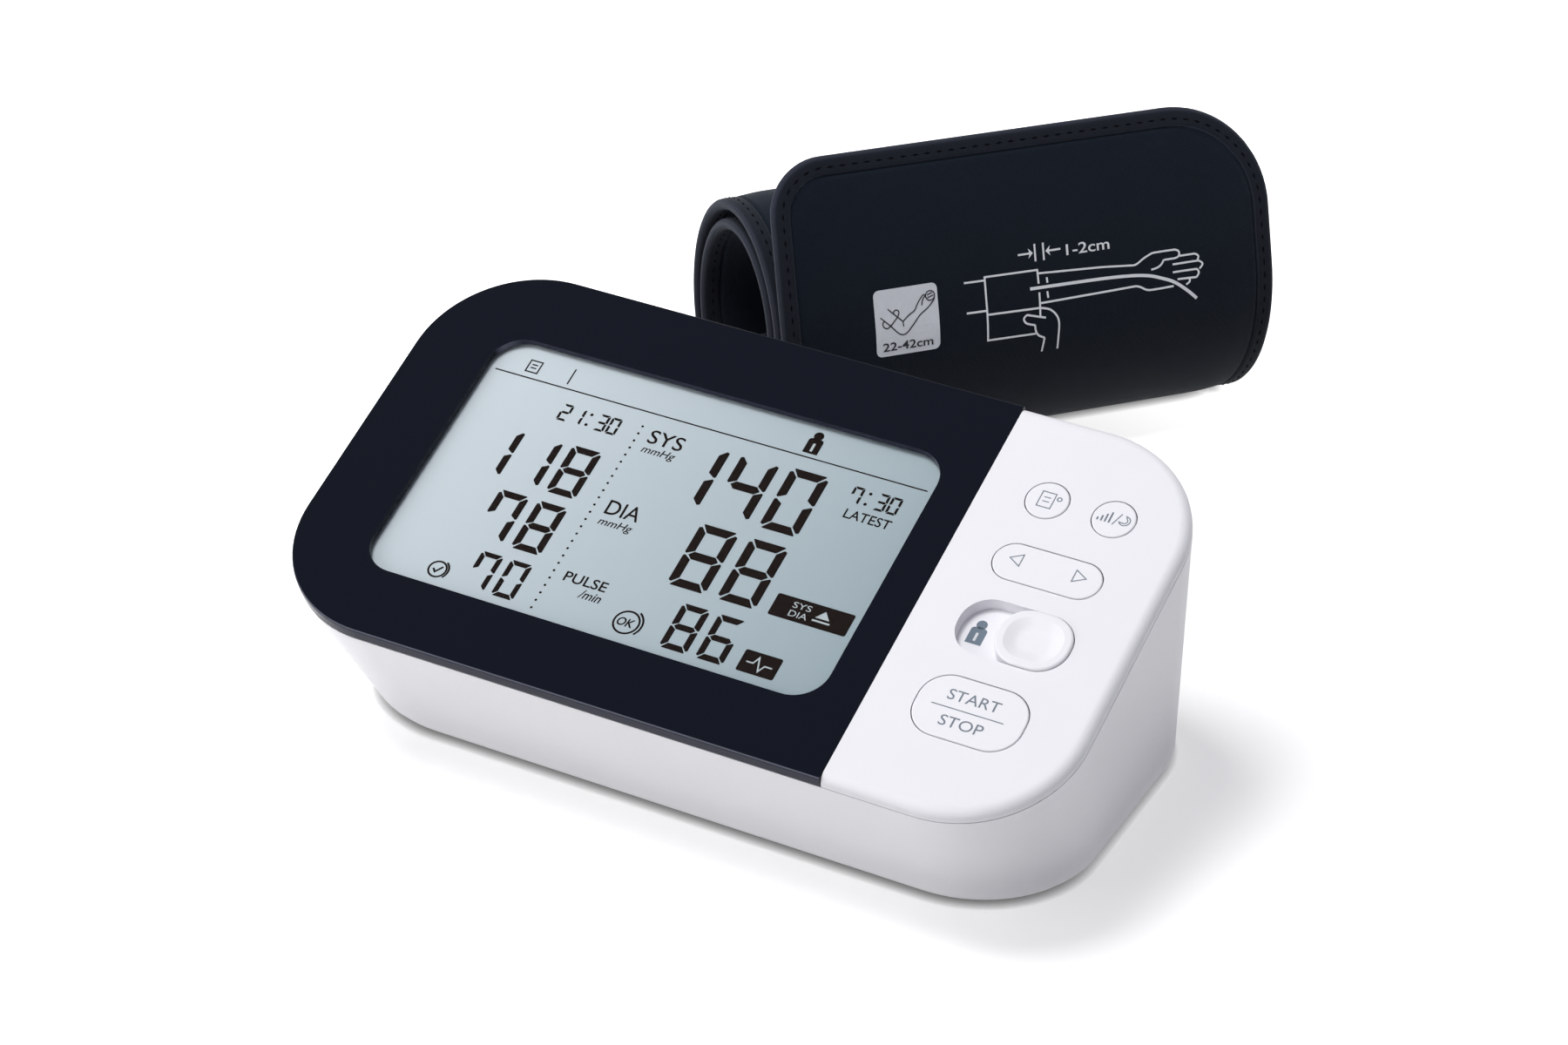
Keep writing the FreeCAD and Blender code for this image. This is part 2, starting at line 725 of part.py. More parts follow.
def make_upper_case():
    """White lid: control panel at the right and a sunk deck that carries the black panel."""
    body = new_body("upper_case", lid_frame)
    lid = new_sketch(body, "lid_outline")
    rounded(lid, "lid_width", "lid_length", "lid_corner")
    plate = pad(body, lid, "lid_thickness", down=True)
    round_edges(body, plate, "0", "lid_edge_round")
    left = new_sketch(body, "panel_side")
    rectangle(
        left, "bezel_width + overrun + panel_gap", "lid_length + 2 * overrun",
        f"{SEAM_X} - (bezel_width + overrun - panel_gap) / 2",
    )
    pocket(body, left, "lid_thickness + overrun")
    deck = new_sketch(body, "deck_outline", DECK_TOP)
    inset = "bezel_rim + 2 * part_gap"
    rounded(deck, f"lid_width - 2 * ({inset})", f"lid_length - 2 * ({inset})", f"lid_corner - ({inset})")
    pad(body, deck, f"lid_thickness {DECK_TOP}", down=True)
    tongue = new_sketch(body, "tongue", LID_UNDERSIDE)
    outer = "wall + tongue_clearance"
    for depth in (outer, f"{outer} + tongue_thickness"):
        rounded(
            tongue, f"lid_width - 2 * ({depth})", f"lid_length - 2 * ({depth})", f"lid_corner - ({depth})"
        )
    pad(body, tongue, "tongue_depth", down=True)
    window = new_sketch(body, "stack_opening")
    rounded(window, STACK_WIDTH, STACK_HEIGHT, "window_corner", "window_x", "window_y")
    pocket(body, window, "lid_thickness + overrun")

    tub = new_sketch(body, "slide_tub", LID_UNDERSIDE)
    rounded(
        tub, "slot_width + 2 * tub_wall", "slot_height + 2 * tub_wall", "slot_corner + tub_wall",
        "slot_x", "slot_y",
    )
    pad(body, tub, "slot_depth + tub_floor - lid_thickness", down=True)
    slot = new_sketch(body, "slide_slot")
    rounded(slot, "slot_width", "slot_height", "slot_corner", "slot_x", "slot_y")
    pocket(body, slot, "slot_depth")
    stem = new_sketch(body, "stem_slot")
    rectangle(stem, STEM_RUN_LENGTH, STEM_RUN_WIDTH, STEM_RUN_X, "slot_y")
    pocket(body, stem, "slot_depth + tub_floor + overrun")
    holes = new_sketch(body, "button_holes")
    circle(holes, "left_button_x", "round_button_y", "round_button_radius")
    circle(holes, "right_button_x", "round_button_y", "round_button_radius")
    pill(holes, "rocker_length", "rocker_width", "rocker_x", "rocker_y")
    rounded(holes, "start_width", "start_height", "start_corner", "start_x", "start_y")
    pocket(body, holes, "lid_thickness + overrun")

    ears = new_sketch(body, "rocker_ears", LID_UNDERSIDE)
    pivot = new_sketch(body, "rocker_pivot_holes", "-(rocker_y + rocker_width)", plane="XZ_Plane")
    for side in "+-":
        rectangle(
            ears, "rocker_ear_width", "rocker_ear_thickness", "rocker_x",
            f"rocker_y {side} (rocker_width / 2 + button_gap + rocker_ear_thickness / 2)",
        )
    pad(body, ears, "rocker_pivot_drop - lid_thickness + rocker_ear_width / 2", down=True)
    circle(pivot, "rocker_x", "-rocker_pivot_drop", "rocker_pivot_radius + screw_clearance")
    pocket(body, pivot, "2 * rocker_width", up=True)

    for name, places, radius, end in (
        ("board", BOARD_POSTS, "board_post_radius", BOARD_TOP),
        ("key", KEY_POSTS, "key_post_radius", KEY_BOARD_TOP),
    ):
        posts = new_sketch(body, f"{name}_posts", LID_UNDERSIDE)
        pilots = new_sketch(body, f"{name}_pilots", f"{end} + stack_gap")
        for x, y in places:
            circle(posts, x, y, radius)
            circle(pilots, x, y, "small_screw_radius + screw_clearance")
        pad(body, posts, f"{LID_UNDERSIDE} - ({end}) - stack_gap", down=True)
        pocket(body, pilots, "small_screw_length - board_thickness", up=True)

    case_posts(body)


def case_posts(body):
    """Upright posts under the lid, each over a screw boss of the lower case."""
    upright = -size("lid_tilt_angle")
    for row, (y, height) in CASE_SCREW_ROWS.items():
        foot = lid_frame.inverse().multVec(Vector(0, 0, size(f"{height} + post_gap")))
        turn = Placement(foot, Rotation(Vector(1, 0, 0), upright))
        posts = new_sketch(body, f"{row}_case_posts")
        pilots = new_sketch(body, f"{row}_case_pilots")
        for sketch, radius in ((posts, "post_radius"), (pilots, "screw_radius + screw_clearance")):
            sketch.setExpression("AttachmentOffset.Base.z", None)
            sketch.AttachmentOffset = turn
            for x in ("boss_left_x", "boss_right_x"):
                circle(sketch, x, y, radius)
        doc.recompute()
        under = (body.Tip, [largest_face(body.Tip, LID_UNDERSIDE)])
        rise = body.newObject("PartDesign::Pad", f"{posts.Name}_pad")
        rise.Profile = posts
        rise.Type = "UpToFace"
        rise.UpToFace = under
        doc.recompute()
        pocket(body, pilots, "screw_length - boss_shoulder + overrun", up=True)


def make_display_bezel():
    """Gloss black panel: a shallow cap over the lid's deck with the display window."""
    body = new_body("display_bezel", lid_frame)
    panel = new_sketch(body, "panel_outline")
    rounded(panel, "lid_width", "lid_length", "lid_corner")
    plate = pad(body, panel, "lid_thickness", down=True)
    round_edges(body, plate, "0", "bezel_edge_round")
    right = new_sketch(body, "control_side")
    rectangle(
        right, "lid_width - bezel_width + overrun", "lid_length + 2 * overrun",
        f"{SEAM_X} + (lid_width - bezel_width + overrun) / 2",
    )
    pocket(body, right, "lid_thickness + overrun")
    under = new_sketch(body, "deck_recess", "-bezel_face")
    rounded(
        under, "lid_width - 2 * bezel_rim", "lid_length - 2 * bezel_rim", "lid_corner - bezel_rim"
    )
    pocket(body, under, "lid_thickness - bezel_face + overrun")
    window = new_sketch(body, "window")
    rounded(window, "window_width", "window_height", "window_corner", "window_x", "window_y")
    pocket(body, window, "bezel_face + overrun")


# Display stack

def make_plate(label, width, height, corner, x, y, top, thickness):
    """A flat plate with round corners, parallel to the lid."""
    body = new_body(label, lid_frame)
    shape = new_sketch(body, "outline", top)
    rounded(shape, width, height, corner, x, y)
    pad(body, shape, thickness, down=True)
    return body


def make_display_stack():
    """Clear window, display glass and light guide, one under the other."""
    inner_width, inner_height = f"{LENS_WIDTH} - 2 * part_gap", f"{LENS_HEIGHT} - 2 * part_gap"
    make_plate(
        "display_lens", LENS_WIDTH, LENS_HEIGHT, "window_corner", "window_x", "window_y", LENS_TOP,
        "lens_thickness",
    )
    make_plate(
        "lcd_glass", inner_width, inner_height, "window_corner", "window_x", "window_y", LCD_TOP,
        "lcd_thickness",
    )
    make_plate(
        "light_guide", inner_width, inner_height, "window_corner", "window_x", "window_y", GUIDE_TOP,
        "guide_thickness",
    )


def make_lcd_holder():
    """Moulded tray that holds the glass and light guide against the deck."""
    body = new_body("lcd_holder", lid_frame)
    tray = new_sketch(body, "tray", f"{LID_UNDERSIDE} - stack_gap")
    rounded(
        tray, f"{STACK_WIDTH} + 2 * holder_wall", f"{STACK_HEIGHT} + 2 * holder_wall",
        "window_corner + holder_wall", "window_x", "window_y",
    )
    pad(body, tray, f"{LID_UNDERSIDE} - stack_gap - ({HOLDER_FLOOR_TOP}) + holder_floor", down=True)
    well = new_sketch(body, "well", f"{LID_UNDERSIDE} - stack_gap")
    rounded(well, STACK_WIDTH, STACK_HEIGHT, "window_corner", "window_x", "window_y")
    pocket(body, well, f"{LID_UNDERSIDE} - stack_gap - ({HOLDER_FLOOR_TOP})")
    opening = new_sketch(body, "floor_opening", f"{LID_UNDERSIDE} - stack_gap")
    rounded(
        opening, f"{LENS_WIDTH} - 2 * holder_border", f"{LENS_HEIGHT} - 2 * holder_border", "window_corner",
        "window_x", "window_y",
    )
    pocket(body, opening, f"{LID_UNDERSIDE} - ({HOLDER_FLOOR_TOP}) + holder_floor + overrun")


# Boards and what is soldered to them

def drill(body, places, top):
    """Screw holes through a board."""
    holes = new_sketch(body, "screw_holes", top)
    for x, y in places:
        circle(holes, x, y, "small_screw_radius + 2 * screw_clearance")
    pocket(body, holes, "board_thickness + overrun")


def make_boards():
    """Main board under the display and key board under the control panel."""
    main = make_plate(
        "main_board", "board_width", "board_length", "board_corner", "board_x", "board_y", BOARD_TOP,
        "board_thickness",
    )
    drill(main, BOARD_POSTS, BOARD_TOP)
    keys = make_plate(
        "key_board", "key_board_width", "key_board_length", "board_corner", "key_board_x", "key_board_y",
        KEY_BOARD_TOP, "board_thickness",
    )
    drill(keys, KEY_POSTS, KEY_BOARD_TOP)


def make_board_screws():
    """Small screws that hold both boards to the lid's posts."""
    body = new_body("board_screws", lid_frame)
    for name, places, top in (("main", BOARD_POSTS, BOARD_TOP), ("key", KEY_POSTS, KEY_BOARD_TOP)):
        heads = new_sketch(body, f"{name}_heads", f"{top} - board_thickness")
        shanks = new_sketch(body, f"{name}_shanks", f"{top} - board_thickness")
        for x, y in places:
            circle(heads, x, y, "small_screw_head")
            circle(shanks, x, y, "small_screw_radius")
        pad(body, heads, "small_screw_head_height", down=True)
        pad(body, shanks, "small_screw_length - overrun")


def make_tact_switches():
    """Push switches on the key board, one under each button and rocker end."""
    body = new_body("tact_switches", lid_frame)
    cases = new_sketch(body, "cases", f"{KEY_BOARD_TOP} + part_gap")
    plungers = new_sketch(body, "plungers", f"{KEY_BOARD_TOP} + part_gap")
    for x, y in SWITCH_PLACES:
        rectangle(cases, "switch_side", "switch_side", x, y)
        circle(plungers, x, y, "switch_plunger_radius")
    pad(body, cases, "switch_height")
    pad(body, plungers, "switch_height + switch_plunger_height")


def make_slide_switch():
    """Switch body under the slide knob, with the channel that its stem runs in."""
    body = new_body("slide_switch", lid_frame)
    case = new_sketch(body, "case", f"{KEY_BOARD_TOP} + part_gap")
    rectangle(case, "slide_body_width", "slide_body_length", STEM_RUN_X, "slot_y")
    pad(body, case, "slide_body_height")
    channel = new_sketch(body, "channel", f"{KEY_BOARD_TOP} + part_gap + slide_body_height")
    rectangle(channel, STEM_RUN_LENGTH, STEM_RUN_WIDTH, STEM_RUN_X, "slot_y")
    pocket(body, channel, "slide_channel_depth")


def make_board_chips():
    """Processor, memory and buzzer on the main board's underside."""
    body = new_body("board_chips", lid_frame)
    level = f"{BOARD_UNDERSIDE} - stack_gap"
    chips = new_sketch(body, "chips", level)
    rectangle(chips, "chip_side", "chip_side", "chip_x", "chip_y")
    rectangle(chips, "memory_width", "memory_length", "memory_x", "chip_y")
    pad(body, chips, "chip_height", down=True)
    buzzer = new_sketch(body, "buzzer", level)
    circle(buzzer, "buzzer_x", "buzzer_y", "buzzer_radius")
    pad(body, buzzer, "buzzer_height", down=True)


# Buttons

def button(label, draw, flange_draw, stems):
    """A button cap in its hole, with the flange that keeps it in and stems over its switches."""
    body = new_body(label, lid_frame)
    cap = new_sketch(body, "cap", "button_proud")
    draw(cap)
    crown = pad(body, cap, f"button_proud - ({FLANGE_TOP})", down=True)
    round_edges(body, crown, "button_proud", "button_edge_round")
    if flange_draw:
        flange = new_sketch(body, "flange", FLANGE_TOP)
        flange_draw(flange)
        pad(body, flange, "button_flange_thickness", down=True)
    stem = new_sketch(body, "stem", FLANGE_TOP)
    for x, y in stems:
        circle(stem, x, y, "button_stem_radius")
    pad(body, stem, f"{FLANGE_TOP} - ({STEM_END})", down=True)
    return body


def make_buttons():
    """Two round buttons, the rocker and the start button."""
    for label, x in (("memory_button", "left_button_x"), ("average_button", "right_button_x")):
        button(
            label,
            lambda cap, x=x: circle(cap, x, "round_button_y", "round_button_radius - button_gap"),
            lambda rim, x=x: circle(rim, x, "round_button_y", "round_button_radius + button_flange"),
            [(x, "round_button_y")],
        )
    button(
        "start_button",
        lambda cap: rounded(
            cap, "start_width - 2 * button_gap", "start_height - 2 * button_gap", "start_corner - button_gap",
            "start_x", "start_y",
        ),
        lambda rim: rounded(
            rim, "start_width + 2 * button_flange", "start_height + 2 * button_flange",
            "start_corner + button_flange", "start_x", "start_y",
        ),
        [("start_x", "start_y")],
    )
    rocker = button(
        "rocker_button",
        lambda cap: pill(
            cap, "rocker_length - 2 * button_gap", "rocker_width - 2 * button_gap", "rocker_x", "rocker_y"
        ),
        None,
        [(f"rocker_x {side} rocker_stem_offset", "rocker_y") for side in "+-"],
    )
    hub = new_sketch(rocker, "hub", FLANGE_TOP)
    rectangle(hub, "rocker_ear_width", "rocker_width - 2 * button_gap", "rocker_x", "rocker_y")
    pad(rocker, hub, f"{FLANGE_TOP} + rocker_pivot_drop + rocker_ear_width / 2", down=True)
    reach = "rocker_width / 2 - button_gap + rocker_pivot_length"
    pivot = new_sketch(rocker, "pivot", f"-(rocker_y + {reach})", plane="XZ_Plane")
    circle(pivot, "rocker_x", "-rocker_pivot_drop", "rocker_pivot_radius")
    pad(rocker, pivot, f"2 * ({reach})")


def make_slide_knob():
    """Slide knob at the right end of its slot, with a rim round a dish for a fingertip."""
    body = new_body("slide_knob", lid_frame)
    base = "knob_clearance - slot_depth"
    dish_floor = "knob_proud - knob_dish_depth"

    def section(name, level, inset):
        sketch = new_sketch(body, name, level)
        rounded(
            sketch, f"knob_width - knob_clearance - 2 * ({inset})",
            f"slot_height - 2 * (knob_clearance + {inset})", f"slot_corner - knob_clearance - ({inset})",
            f"{KNOB_X} + knob_clearance / 2", "slot_y",
        )
        return sketch

    pad(body, section("cap", "knob_proud", "0"), f"knob_proud - ({base})", down=True)
    rim = section("dish_rim", "knob_proud", "knob_rim")
    dish = loft(body, [rim, section("dish_floor", dish_floor, "knob_rim + knob_dish_slope")], cut=True)
    rounded_dish = round_edges(body, dish, dish_floor, "knob_dish_round")
    round_edges(body, rounded_dish, "knob_proud", "knob_edge_round")
    stem = new_sketch(body, "stem", base)
    rectangle(stem, "knob_stem_length", "knob_stem_width", STEM_X, "slot_y")
    channel_floor = f"{KEY_BOARD_TOP} + part_gap + slide_body_height - slide_channel_depth"
    pad(body, stem, f"{base} - ({channel_floor}) - knob_stem_clearance", down=True)


def make_slide_shutter():
    """Thin plate on the knob's stem, which closes the stem's slot from below at both ends of its run."""
    body = new_body("slide_shutter", lid_frame)
    top = "-(slot_depth + tub_floor + shutter_gap)"
    plate = new_sketch(body, "plate", top)
    reach = f"{STEM_RUN_LENGTH} - knob_stem_clearance - knob_stem_length / 2 + shutter_border"
    rectangle(plate, f"2 * ({reach})", f"{STEM_RUN_WIDTH} + 2 * shutter_border", STEM_X, "slot_y")
    pad(body, plate, "shutter_thickness", down=True)
    hole = new_sketch(body, "stem_hole", top)
    rectangle(hole, "knob_stem_length + 2 * stack_gap", "knob_stem_width + 2 * stack_gap", STEM_X, "slot_y")
    pocket(body, hole, "shutter_thickness + overrun")


# Underside

def make_rubber_feet():
    """Round feet seated in recesses of the case floor."""
    body = new_body("rubber_feet")
    feet = new_sketch(body, "feet")
    for x, y in FOOT_PLACES:
        circle(feet, x, y, "foot_radius")
    discs = pad(body, feet, "foot_height + foot_recess - stack_gap")
    round_edges(body, discs, "0", "foot_edge_round")


def make_case_screws():
    """Screws up through the case bosses into the lid's posts."""
    body = new_body("case_screws")
    for row, (y, height) in CASE_SCREW_ROWS.items():
        shoulder = f"{height} - boss_shoulder"
        heads = new_sketch(body, f"{row}_heads", shoulder)
        shanks = new_sketch(body, f"{row}_shanks", shoulder)
        for x in ("boss_left_x", "boss_right_x"):
            circle(heads, x, y, "screw_head_radius")
            circle(shanks, x, y, "screw_radius")
        pad(body, heads, "screw_head_height", down=True)
        pad(body, shanks, "screw_length")


def make_battery_cells():
    """Round cells side by side, with their ends turned about in turn."""
    body = new_body("battery_cells")
    front = f"tub_y - ({TUB_LENGTH}) / 2 + contact_thickness + 2 * part_gap"
    back = f"tub_y + ({TUB_LENGTH}) / 2 - contact_thickness - 2 * part_gap"
    for group, start in ((0, f"{front} + spring_length"), (1, f"{back} - spring_length - cell_length")):
        cans = new_sketch(body, f"cans_{group}", f"-({start})", plane="XZ_Plane")
        nubs = new_sketch(body, f"nubs_{group}", f"-({start})", plane="XZ_Plane")
        for x in CELL_PLACES[group::2]:
            circle(cans, x, CELL_HEIGHT, "cell_radius")
            circle(nubs, x, CELL_HEIGHT, "cell_nub_radius")
        pad(body, cans, "cell_length", down=True)
        if group == 0:
            pad(body, nubs, "cell_length + cell_nub_length", down=True)
        else:
            pad(body, nubs, "cell_nub_length")


def make_battery_contacts():
    """A plate at each end of each cell, with a coned spring at the flat end."""
    body = new_body("battery_contacts")
    front = f"tub_y - ({TUB_LENGTH}) / 2 + part_gap"
    back = f"tub_y + ({TUB_LENGTH}) / 2 - part_gap"
    plates = {
        "front": new_sketch(body, "front_plates", f"-({front})", plane="XZ_Plane"),
        "back": new_sketch(body, "back_plates", f"-({back})", plane="XZ_Plane"),
    }
    for sketch in plates.values():
        for x in CELL_PLACES:
            rectangle(sketch, "contact_side", "contact_side", x, CELL_HEIGHT)
    pad(body, plates["front"], "contact_thickness", down=True)
    pad(body, plates["back"], "contact_thickness")
    ends = ((0, f"{front} + contact_thickness", "+"), (1, f"{back} - contact_thickness", "-"))
    for group, foot, way in ends:
        for place, x in enumerate(CELL_PLACES[group::2]):
            rings = []
            coil_ends = (("foot", "spring_base_radius", "0"), ("tip", "spring_tip_radius", "spring_length"))
            for end, radius, run in coil_ends:
                level = f"-({foot} {way} ({run}))"
                ring = new_sketch(body, f"spring_{group}_{place}_{end}", level, plane="XZ_Plane")
                circle(ring, x, CELL_HEIGHT, radius)
                rings.append(ring)
            loft(body, rings)


def make_battery_cover():
    """Flush cover with hooks at the back and a sprung latch tongue at the front."""
    body = new_body("battery_cover")
    plate = new_sketch(body, "plate", "foot_height")
    rounded(plate, COVER_WIDTH, COVER_LENGTH, "cover_corner", y="tub_y")
    pad(body, plate, "cover_thickness")
    slits = new_sketch(body, "latch_slits", "foot_height")
    for side in "+-":
        rectangle(
            slits, "latch_slit", "latch_length", f"{side}(latch_width + latch_slit) / 2",
            f"{COVER_FRONT_Y} + latch_length / 2 - stack_gap",
        )
    pocket(body, slits, "cover_thickness + overrun", up=True)
    hooks = new_sketch(body, "hooks", COVER_TOP)
    hook_depth = "cover_hook_reach + cover_lip"
    for side in "+-":
        rectangle(
            hooks, "cover_hook_width", hook_depth, f"{side}cover_hook_spread",
            f"{COVER_BACK_Y} - cover_lip + ({hook_depth}) / 2",
        )
    pad(body, hooks, "cover_hook_height")


# Air system

def make_pump():
    """Motor, pump head and the rubber cradle under the motor."""
    motor = new_body("pump_motor")
    can = new_sketch(motor, "can", "-pump_front_y", plane="XZ_Plane")
    circle(can, "pump_x", MOTOR_AXIS_HEIGHT, "motor_radius")
    pad(motor, can, "motor_length", down=True)
    boss = new_sketch(motor, "bearing_boss", "-pump_front_y", plane="XZ_Plane")
    circle(boss, "pump_x", MOTOR_AXIS_HEIGHT, "motor_boss_radius")
    pad(motor, boss, "motor_boss_length")

    head = new_body("pump_head")
    block = new_sketch(head, "block", f"-({HEAD_FRONT_Y})", plane="XZ_Plane")
    rounded(block, "head_side", "head_side", "head_corner", "pump_x", MOTOR_AXIS_HEIGHT)
    pad(head, block, "head_length", down=True)
    outlet = new_sketch(head, "outlet", "pump_x - head_side / 2", plane="YZ_Plane")
    circle(outlet, "outlet_y", "air_line_height", "barb_radius")
    pad(head, outlet, "short_barb_length", down=True)

    cradle = new_body("pump_cradle")
    saddle = new_sketch(cradle, "saddle", "-(pump_front_y + cradle_inset)", plane="XZ_Plane")
    floor = f"{FLOOR_TOP} + stack_gap"
    rectangle(
        saddle, "cradle_width", f"{MOTOR_AXIS_HEIGHT} - ({floor})", "pump_x",
        f"({MOTOR_AXIS_HEIGHT} + {floor}) / 2",
    )
    pad(cradle, saddle, "cradle_length", down=True)
    groove = new_sketch(cradle, "groove", "-(pump_front_y + cradle_inset)", plane="XZ_Plane")
    circle(groove, "pump_x", MOTOR_AXIS_HEIGHT, "motor_radius + cradle_clearance")
    pocket(cradle, groove, "cradle_length + overrun")


def make_air_manifold():
    """Block with a barb for the pump, the jack, the valve and the sensor."""
    body = new_body("air_manifold")
    block = new_sketch(body, "block", "air_line_height - manifold_side / 2")
    rounded(block, "manifold_side", "manifold_length", "manifold_side / 4", "manifold_x", "manifold_y")
    pad(body, block, "manifold_side")
    for name, y, down in (("jack_barb", "jack_y", True), ("pump_barb", "outlet_y", False)):
        barb = new_sketch(body, name, "manifold_x", plane="YZ_Plane")
        circle(barb, y, "air_line_height", "barb_radius")
        pad(body, barb, "manifold_side / 2 + short_barb_length", down=down)
    valve = new_sketch(body, "valve_barb", "-manifold_y", plane="XZ_Plane")
    circle(valve, "manifold_x", "air_line_height", "barb_radius")
    pad(body, valve, "manifold_length / 2 + barb_length")
    sensor = new_sketch(body, "sensor_barb", "air_line_height")
    circle(sensor, "manifold_x", "manifold_y", "barb_radius")
    pad(body, sensor, "manifold_side / 2 + barb_length")


def make_release_valve():
    """Solenoid valve that stands on the floor with its nozzle to the manifold."""
    body = new_body("release_valve")
    block = new_sketch(body, "block", f"{FLOOR_TOP} + stack_gap")
    rounded(
        block, "valve_width", "valve_length", "valve_corner", "manifold_x", "valve_back_y - valve_length / 2"
    )
    pad(body, block, "valve_height")
    nozzle = new_sketch(body, "nozzle", "-(valve_back_y - valve_corner)", plane="XZ_Plane")
    circle(nozzle, "manifold_x", "air_line_height", "barb_radius")
    pad(body, nozzle, "barb_length + valve_corner", down=True)


def sensor_line():
    """Where the sensor's air line leaves the manifold, bends and meets the sloping board."""
    tilt = math.radians(size("lid_tilt_angle"))
    x, y = size("manifold_x"), size("manifold_y")
    start = Vector(x, y, size("air_line_height + manifold_side / 2 + hose_end_gap"))
    bend = start + Vector(0, 0, size("barb_length + hose_rise"))
    radius = size("hose_bend")
    middle = bend + Vector(0, radius * (math.cos(tilt / 2) - 1), radius * math.sin(tilt / 2))
    leave = bend + Vector(0, radius * (math.cos(tilt) - 1), radius * math.sin(tilt))
    return start, bend, middle, leave


def make_pressure_sensor():
    """Sensor under the main board, its nipple in line with the hose from the manifold."""
    body = new_body("pressure_sensor", lid_frame)
    along = str(lid_frame.inverse().multVec(sensor_line()[3]).y)
    can = new_sketch(body, "can", f"{BOARD_UNDERSIDE} - stack_gap")
    rounded(can, "sensor_width", "sensor_length", "sensor_corner", "manifold_x", along)
    pad(body, can, "sensor_height", down=True)
    nipple = new_sketch(body, "nipple", f"{BOARD_UNDERSIDE} - stack_gap")
    circle(nipple, "manifold_x", along, "barb_radius")
    pad(body, nipple, "sensor_height + barb_length", down=True)


def hose(path):
    """A hose along a path: a thick wall about a bore."""
    start = path.Edges[0].Vertexes[0].Point
    way = path.Edges[0].tangentAt(path.Edges[0].FirstParameter)
    walls = []
    for radius in ("hose_radius", "hose_bore_radius"):
        ring = Part.Wire(Part.makeCircle(size(radius), start, way))
        walls.append(path.makePipeShell([ring], True, False))
    return walls[0].cut(walls[1])


def make_air_hoses():
    """Short silicone hoses over the barbs, one of them bent to the sloping board."""
    height = size("air_line_height")
    gap = size("hose_end_gap")

    def straight(begin, end):
        return hose(Part.Wire(Part.makeLine(Vector(*begin), Vector(*end))))

    jack_y, outlet_y = size("jack_y"), size("outlet_y")
    middle_x = size("manifold_x")
    left = size("manifold_x - manifold_side / 2")
    right = size("manifold_x + manifold_side / 2")
    front = size("manifold_y - manifold_length / 2")
    start, bend, middle, leave = sensor_line()
    foot = lid_frame.inverse().multVec(leave)
    top = lid_frame.multVec(
        Vector(foot.x, foot.y, size(f"{BOARD_UNDERSIDE} - stack_gap - sensor_height - hose_end_gap"))
    )
    turn = Part.Arc(bend, middle, leave).toShape()
    bent = Part.Wire([Part.makeLine(start, bend), turn, Part.makeLine(leave, top)])
    runs = [
        straight((size("jack_end_x") + gap, jack_y, height), (left - gap, jack_y, height)),
        straight((right + gap, outlet_y, height), (size("pump_x - head_side / 2") - gap, outlet_y, height)),
        straight((middle_x, size("valve_back_y") + gap, height), (middle_x, front - gap, height)),
        hose(bent),
    ]
    item = doc.addObject("Part::Feature", "air_hoses")
    item.Label = "air_hoses"
    item.Shape = Part.makeCompound(runs)
    pieces.append(item)


def make_air_jack():
    """Socket for the cuff's hose, clamped in the left wall, with a barb inside."""
    body = new_body("air_jack")
    profile = new_sketch(body, "profile", "air_line_height")
    profile.setExpression("AttachmentOffset.Base.y", cells("jack_y"))
    outline(
        profile,
        [
            ("jack_mouth_x", "jack_bore_radius"),
            ("jack_mouth_x", "jack_radius"),
            ("jack_flange_x", "jack_radius"),
            ("jack_flange_x", "jack_flange_radius"),
            ("jack_flange_x + jack_flange_thickness", "jack_flange_radius"),
            ("jack_flange_x + jack_flange_thickness", "jack_neck_radius"),
            ("jack_end_x", "jack_neck_radius"),
            ("jack_end_x", "barb_radius"),
            ("jack_end_x + jack_barb_length", "barb_radius"),
            ("jack_end_x + jack_barb_length", "jack_passage_radius"),
            ("jack_mouth_x + jack_bore_depth", "jack_passage_radius"),
            ("jack_mouth_x + jack_bore_depth", "jack_bore_radius"),
        ],
    )
    spin(body, profile)


def make_dc_jack():
    """Power socket on the floor against the back wall: a barrel with a centre pin."""
    body = new_body("dc_jack")
    block = new_sketch(body, "block", "-dc_jack_back_y", plane="XZ_Plane")
    rectangle(block, "dc_jack_side", "dc_jack_side", "dc_jack_x", DC_AXIS_HEIGHT)
    pad(body, block, "dc_jack_length")
    mouth = "dc_jack_back_y + dc_barrel_length"
    barrel = new_sketch(body, "barrel", f"-({mouth})", plane="XZ_Plane")
    circle(barrel, "dc_jack_x", DC_AXIS_HEIGHT, "dc_barrel_radius")
    pad(body, barrel, "dc_barrel_length + overrun")
    bore = new_sketch(body, "bore", f"-({mouth})", plane="XZ_Plane")
    circle(bore, "dc_jack_x", DC_AXIS_HEIGHT, "dc_bore_radius")
    circle(bore, "dc_jack_x", DC_AXIS_HEIGHT, "dc_pin_radius")
    pocket(body, bore, "dc_bore_depth", up=True)


# Arm cuff

def winding_point(turn, offset=0.0):
    """A point of the oval winding, offset outwards from the middle of the band."""
    angle = 2 * math.pi * turn
    shrink = size("cuff_pitch") * turn
    depth, height = size("cuff_depth_radius") - shrink, size("cuff_height_radius") - shrink
    step = size("cuff_pitch") / (2 * math.pi)
    middle = size("cuff_height_radius - cuff_pitch / 4 + cuff_thickness / 2 - cuff_flat")
    y, z = -depth * math.cos(angle), middle - height * math.sin(angle)
    along = Vector(
        0, depth * math.sin(angle) + step * math.cos(angle), step * math.sin(angle) - height * math.cos(angle)
    )
    along.normalize()
    return Vector(0, y + along.z * offset, z - along.y * offset)


